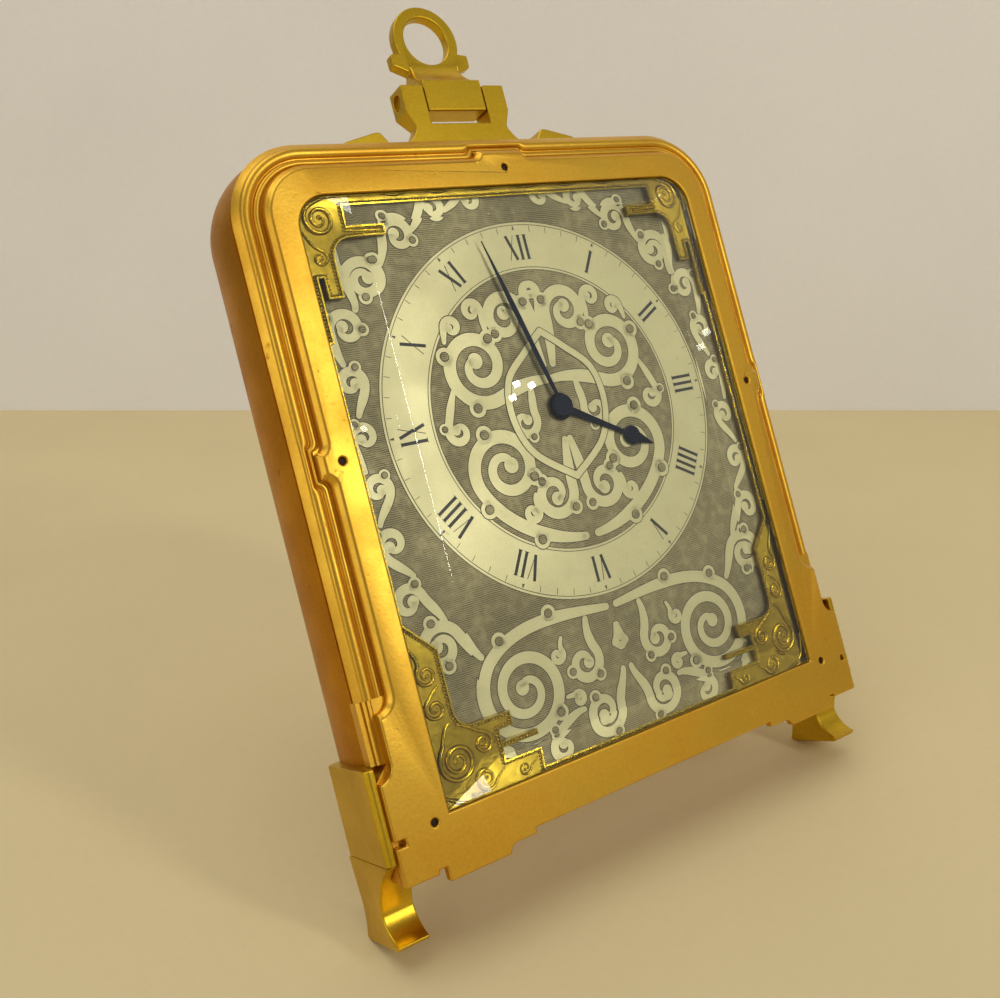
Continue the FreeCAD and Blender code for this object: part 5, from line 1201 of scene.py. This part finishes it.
@dataclass
class Mask:
    """The chased gilt mask: a sunk ground with raised rims, scrolls and rows of beads."""

    sunk: float = 2.45
    back: float = 3.35
    lip: float = 2.14
    lip_wide: float = 0.24
    rope_in: float = 0.46
    bead_pitch: float = 0.52
    bead_radius: float = 0.2

    EDGE = (
        [(0.0, -51.24), (19.21, -51.24), (19.21, -48.24), (25.41, -48.24), (25.41, -46.64), (19.21, -46.64),
         (19.21, -45.84), (25.41, -45.84), (25.41, -44.04), (22.91, -44.04), (22.91, -41.94)]
        + quarter((28.71, -39.34), 2.6, 2.6, -90)
        + [(31.31, -30.44), (35.51, -25.94), (35.51, 14.63), (34.91, 14.63), (34.91, 24.13), (34.01, 24.13),
           (34.01, 21.03), (31.71, 21.03)]
        + quarter((28.71, 26.43), 3.0, 3.2, 0)
        + [(23.01, 29.63), (23.01, 31.23), (28.71, 31.23), (28.71, 34.13), (0.0, 34.13)]
    )
    RIM = (
        [(0.0, -53.2)] + quarter((33.0, -48.4), 4.75, 4.75, -90)
        + quarter((33.0, 32.4), 4.75, 4.75, 0) + [(0.0, 37.15)]
    )
    RELIEF = (
        Scroll((36.4, -27.6), -100, (33.9, -33.5), 1.6, 40, -1.5, 0.6),
        Scroll((32.6, -35.4), -20, (33.8, -38.4), 1.6, 50, -1.5, 0.6),
        Scroll((32.4, -40.8), -20, (32.4, -46.3), 2.9, 40, -2.1, 0.75),
        Scroll((31.4, -41.4), 190, (27.9, -45.0), 1.5, 110, 1.6, 0.6),
        Scroll((25.8, -49.0), -80, (28.9, -49.8), 1.7, 200, 1.7, 0.6),
        Scroll((20.1, -49.4), -90, (22.4, -50.4), 1.0, 190, 1.3, 0.5),
        Scroll((29.2, 35.6), 20, (32.5, 32.6), 2.4, 70, -1.9, 0.7),
        Scroll((35.8, 31.6), -120, (33.7, 27.0), 1.2, 110, 1.4, 0.5),
        Strap(((36.9, -47.0), (35.8, -50.4), (32.2, -52.1)), 0.6),
        Strap(((24.4, 30.4), (26.6, 30.5), (29.2, 30.7)), 0.5),
        Strap(((36.4, 29.8), (36.4, 33.2), (34.6, 35.6)), 0.6),
        Strap(((27.4, 35.7), (23.6, 36.2), (19.8, 35.4), (16.0, 36.2), (12.2, 35.4), (8.4, 36.2), (4.6, 35.5),
               (0.0, 36.1)), 0.55),
        Strap(((36.7, -23.0), (36.9, -14.0), (36.7, -5.0), (36.9, 4.0), (36.7, 13.0)), 0.45),
    )

    def build(self) -> None:
        """Builds the mask."""
        ground, rims, relief, beads = Form(), Form(), Form(), Form()
        lip = inset(self.EDGE, self.lip_wide)
        rope = inset(self.EDGE, self.rope_in)
        base = self.sunk + OVERLAP
        for mirror in (-1, 1):
            ground.slab([(mirror * x, z) for x, z in self.EDGE + self.RIM[::-1]], self.sunk, self.back)
            rims.slab([(mirror * x, z) for x, z in self.EDGE + lip[::-1]], self.lip, base)
            for line in (rope[:5], rope[5:]):
                self._beads(beads, [(mirror * x, z) for x, z in line])
            for scroll in self.RELIEF:
                line, halves = scroll.line(mirror)
                relief.relief(line, halves, base)
                relief.bead(line[-1], scroll.ends()[1], base)
        # The sunk ground carries the gilt with painted shade.
        ground.piece("mask_ground", PALETTE.hollow, "mask_gilt", replaces=("gilt_mask",))
        rims.piece("mask_rims", PALETTE.mask, "mask_gilt")
        relief.piece("mask_scrolls", PALETTE.mask, "mask_gilt", smooth=50)
        beads.piece("mask_beading", PALETTE.mask, "mask_gilt", smooth=50)

    def _beads(self, form: Form, rope: list[Flat]) -> None:
        """Sets beads at an even pitch along a line.

        Args:
            form: the form that they are added to.
            rope: the line.
        """
        radius, carry = self.bead_radius, 0.0
        base = self.sunk - radius
        for start, end in zip(rope, rope[1:]):
            length = math.hypot(end[0] - start[0], end[1] - start[1])
            along = carry
            while along < length:
                part = along / length
                spot = start[0] + (end[0] - start[0]) * part, start[1] + (end[1] - start[1]) * part
                form.disc(spot, radius, base, self.sunk + OVERLAP, steps=8)
                form.bead(spot, radius, base)
                along += self.bead_pitch
            carry = along - length


@dataclass
class Movement:
    """Hands, motion work, train, balance and what holds them."""

    hand_edge: float = 0.05
    collet_edge: float = 0.08

    STEEL = ("intermediate_arbor", "third_arbor", "fourth_arbor", "escape_arbor", "centre_arbor", "lever",
             "balance_staff", "cannon_pinion", "set_arbor", "barrel_arbor", "ratchet_wheel", "click",
             "mainspring", "minute_stud", "click_spring", "hairspring")
    BRASS = ("dial_feet", "pillar_plate", "top_plate", "pillars", "front_posts", "standoffs", "balance_cock",
             "hour_wheel", "minute_wheel", "barrel", "barrel_cover", "intermediate_wheel", "centre_wheel",
             "third_wheel", "fourth_wheel", "escape_wheel", "balance_wheel")
    SCREWS = ("plate_screws", "case_screws", "small_screws")

    def build(self) -> None:
        """Dresses the movement and rounds the hands."""
        dress(PALETTE.steel, *self.STEEL)
        dress(PALETTE.movement, *self.BRASS)
        dress(PALETTE.blued, *self.SCREWS)
        soften("hour_hand", PALETTE.blued, self.hand_edge, "hour", 2)
        soften("minute_hand", PALETTE.blued, self.hand_edge, "minute", 2)
        soften("hand_collet", PALETTE.blued, self.collet_edge, "minute", 3)


@dataclass
class Back:
    """Strut, hinge and winding shutter."""

    leg_edge: float = 0.2
    lug_edge: float = 0.12
    shutter_edge: float = 0.1

    def build(self) -> None:
        """Rounds the strut, lug and shutter and dresses the pin."""
        soften("strut_leg", PALETTE.brass, self.leg_edge, "strut")
        soften("hinge_lug", PALETTE.brass, self.lug_edge)
        soften("winding_shutter", PALETTE.brass, self.shutter_edge, "shutter")
        dress(PALETTE.steel, "hinge_pin")


@dataclass
class Glazing:
    """The bevelled glass, whose bevels meet the flat at a small angle in degrees."""

    arris: float = 0.1
    bevel_angle: float = 4.0

    def build(self) -> None:
        """Rounds the arrises of the bevels a little, so that they catch the light."""
        soften("glass", PALETTE.glass, self.arris, segments=2, angle=self.bevel_angle)


# Camera, floor and light

@dataclass(frozen=True)
class Viewpoint:
    """Where the photograph was taken from, in dial coordinates with the last number forward."""

    eye: Point = (-95.16, -16.05, 130.62)
    ahead: Point = (0.5172, 0.0264, -0.8555)
    down: Point = (-0.2013, -0.9677, -0.1516)
    lens: float = 37.25
    sensor: float = 36.0
    near: float = 0.005
    far: float = 20.0

    def build(self) -> None:
        """Makes the camera."""
        data = bpy.data.cameras.new("camera")
        data.lens, data.sensor_width, data.sensor_fit = self.lens, self.sensor, "HORIZONTAL"
        data.clip_start, data.clip_end = self.near, self.far
        camera = new_object("camera", data)
        ahead = STANCE.direction(*self.ahead).normalized()
        up = -STANCE.direction(*self.down)
        right = ahead.cross(up).normalized()
        up = right.cross(ahead)
        turn = Matrix((right, up, -ahead)).transposed().to_4x4()
        camera.matrix_world = Matrix.Translation(STANCE.point(self.eye[0], self.eye[1], -self.eye[2])) @ turn
        bpy.context.scene.camera = camera


WARM_WHITE = (1.0, 0.97, 0.92)


@dataclass(frozen=True)
class Lamp:
    """A soft lamp aimed at the clock, square unless its height is given. Its places are in metres."""

    name: str
    at: Point
    size: float
    power: float
    tall: float | None = None
    colour: Colour = WARM_WHITE
    target: Point = (0.0, 0.0, 0.06)

    def build(self) -> None:
        """Makes the lamp."""
        data = bpy.data.lights.new(self.name, "AREA")
        data.shape = "RECTANGLE"
        data.size, data.size_y = self.size, self.tall or self.size
        data.energy, data.color = self.power, self.colour
        lamp = new_object(self.name, data)
        lamp.location = Vector(self.at)
        lamp.rotation_mode = "QUATERNION"
        lamp.rotation_quaternion = (Vector(self.target) - lamp.location).to_track_quat("-Z", "Y")


@dataclass
class Studio:
    """A plain pale floor and wall under soft light, in metres."""

    floor: Colour = (0.78, 0.65, 0.36)
    wall: Colour = (0.95, 0.93, 0.90)
    shade: float = 0.94
    reach: float = 1.6
    wall_foot: tuple[Flat, Flat] = ((-0.779, 0.991), (1.213, -0.680))
    wall_height: float = 1.2
    sky: Colour = WARM_WHITE
    sky_strength: float = 0.25
    lamps: tuple[Lamp, ...] = (
        Lamp("window", (0.358, -0.827, 0.553), 0.10, 2.0, 0.34),
        Lamp("ceiling", (-0.25, 0.05, 1.1), 0.8, 3.4),
        Lamp("left_fill", (-0.9, -0.35, 0.45), 0.6, 1.8),
        Lamp("bulb_a", (0.651, -0.854, 0.617), 0.008, 0.012),
        Lamp("bulb_b", (0.668, -0.849, 0.608), 0.008, 0.012),
        Lamp("bulb_c", (0.644, -0.866, 0.605), 0.008, 0.012),
    )

    def build(self) -> None:
        """Makes floor, wall, lamps and sky."""
        reach = self.reach
        self._sheet("floor", [(-reach, -reach, 0), (reach, -reach, 0), (reach, reach, 0), (-reach, reach, 0)],
                    self.floor)
        (x0, y0), (x1, y1) = self.wall_foot
        high = self.wall_height
        self._sheet("wall", [(x0, y0, 0), (x1, y1, 0), (x1, y1, high), (x0, y0, high)], self.wall)
        for lamp in self.lamps:
            lamp.build()
        world = bpy.data.worlds.new("room")
        world.use_nodes = True
        background = world.node_tree.nodes["Background"]
        background.inputs["Color"].default_value = (*self.sky, 1)
        background.inputs["Strength"].default_value = self.sky_strength
        bpy.context.scene.world = world
        bpy.context.scene.view_settings.view_transform = "Standard"

    def _sheet(self, name: str, corners: list[Point], colour: Colour) -> None:
        """Lays a flat sheet, matt and faintly grained.

        Args:
            name: its name.
            corners: its four corners.
            colour: its colour, which darkens a little in clouds.
        """
        mesh = bpy.data.meshes.new(name)
        mesh.from_pydata(corners, [], [(0, 1, 2, 3)])
        darker = tuple(self.shade * part for part in colour)
        matt = Finish(name, colour, darker, 0.6, 0.0, clouds=12.0, speckle=600.0, bump=0.02)
        mesh.materials.append(matt.material())
        sheet = new_object(name, mesh)


def main() -> None:
    """Builds the clock and its studio."""
    logging.basicConfig(level=logging.INFO, format="%(name)s: %(message)s")
    for part in (Case(), Dial(), Mask(), Movement(), Back(), Glazing(), Viewpoint(), Studio()):
        part.build()
        log.info("%s built", type(part).__name__)


if __name__ == "__main__":
    main()
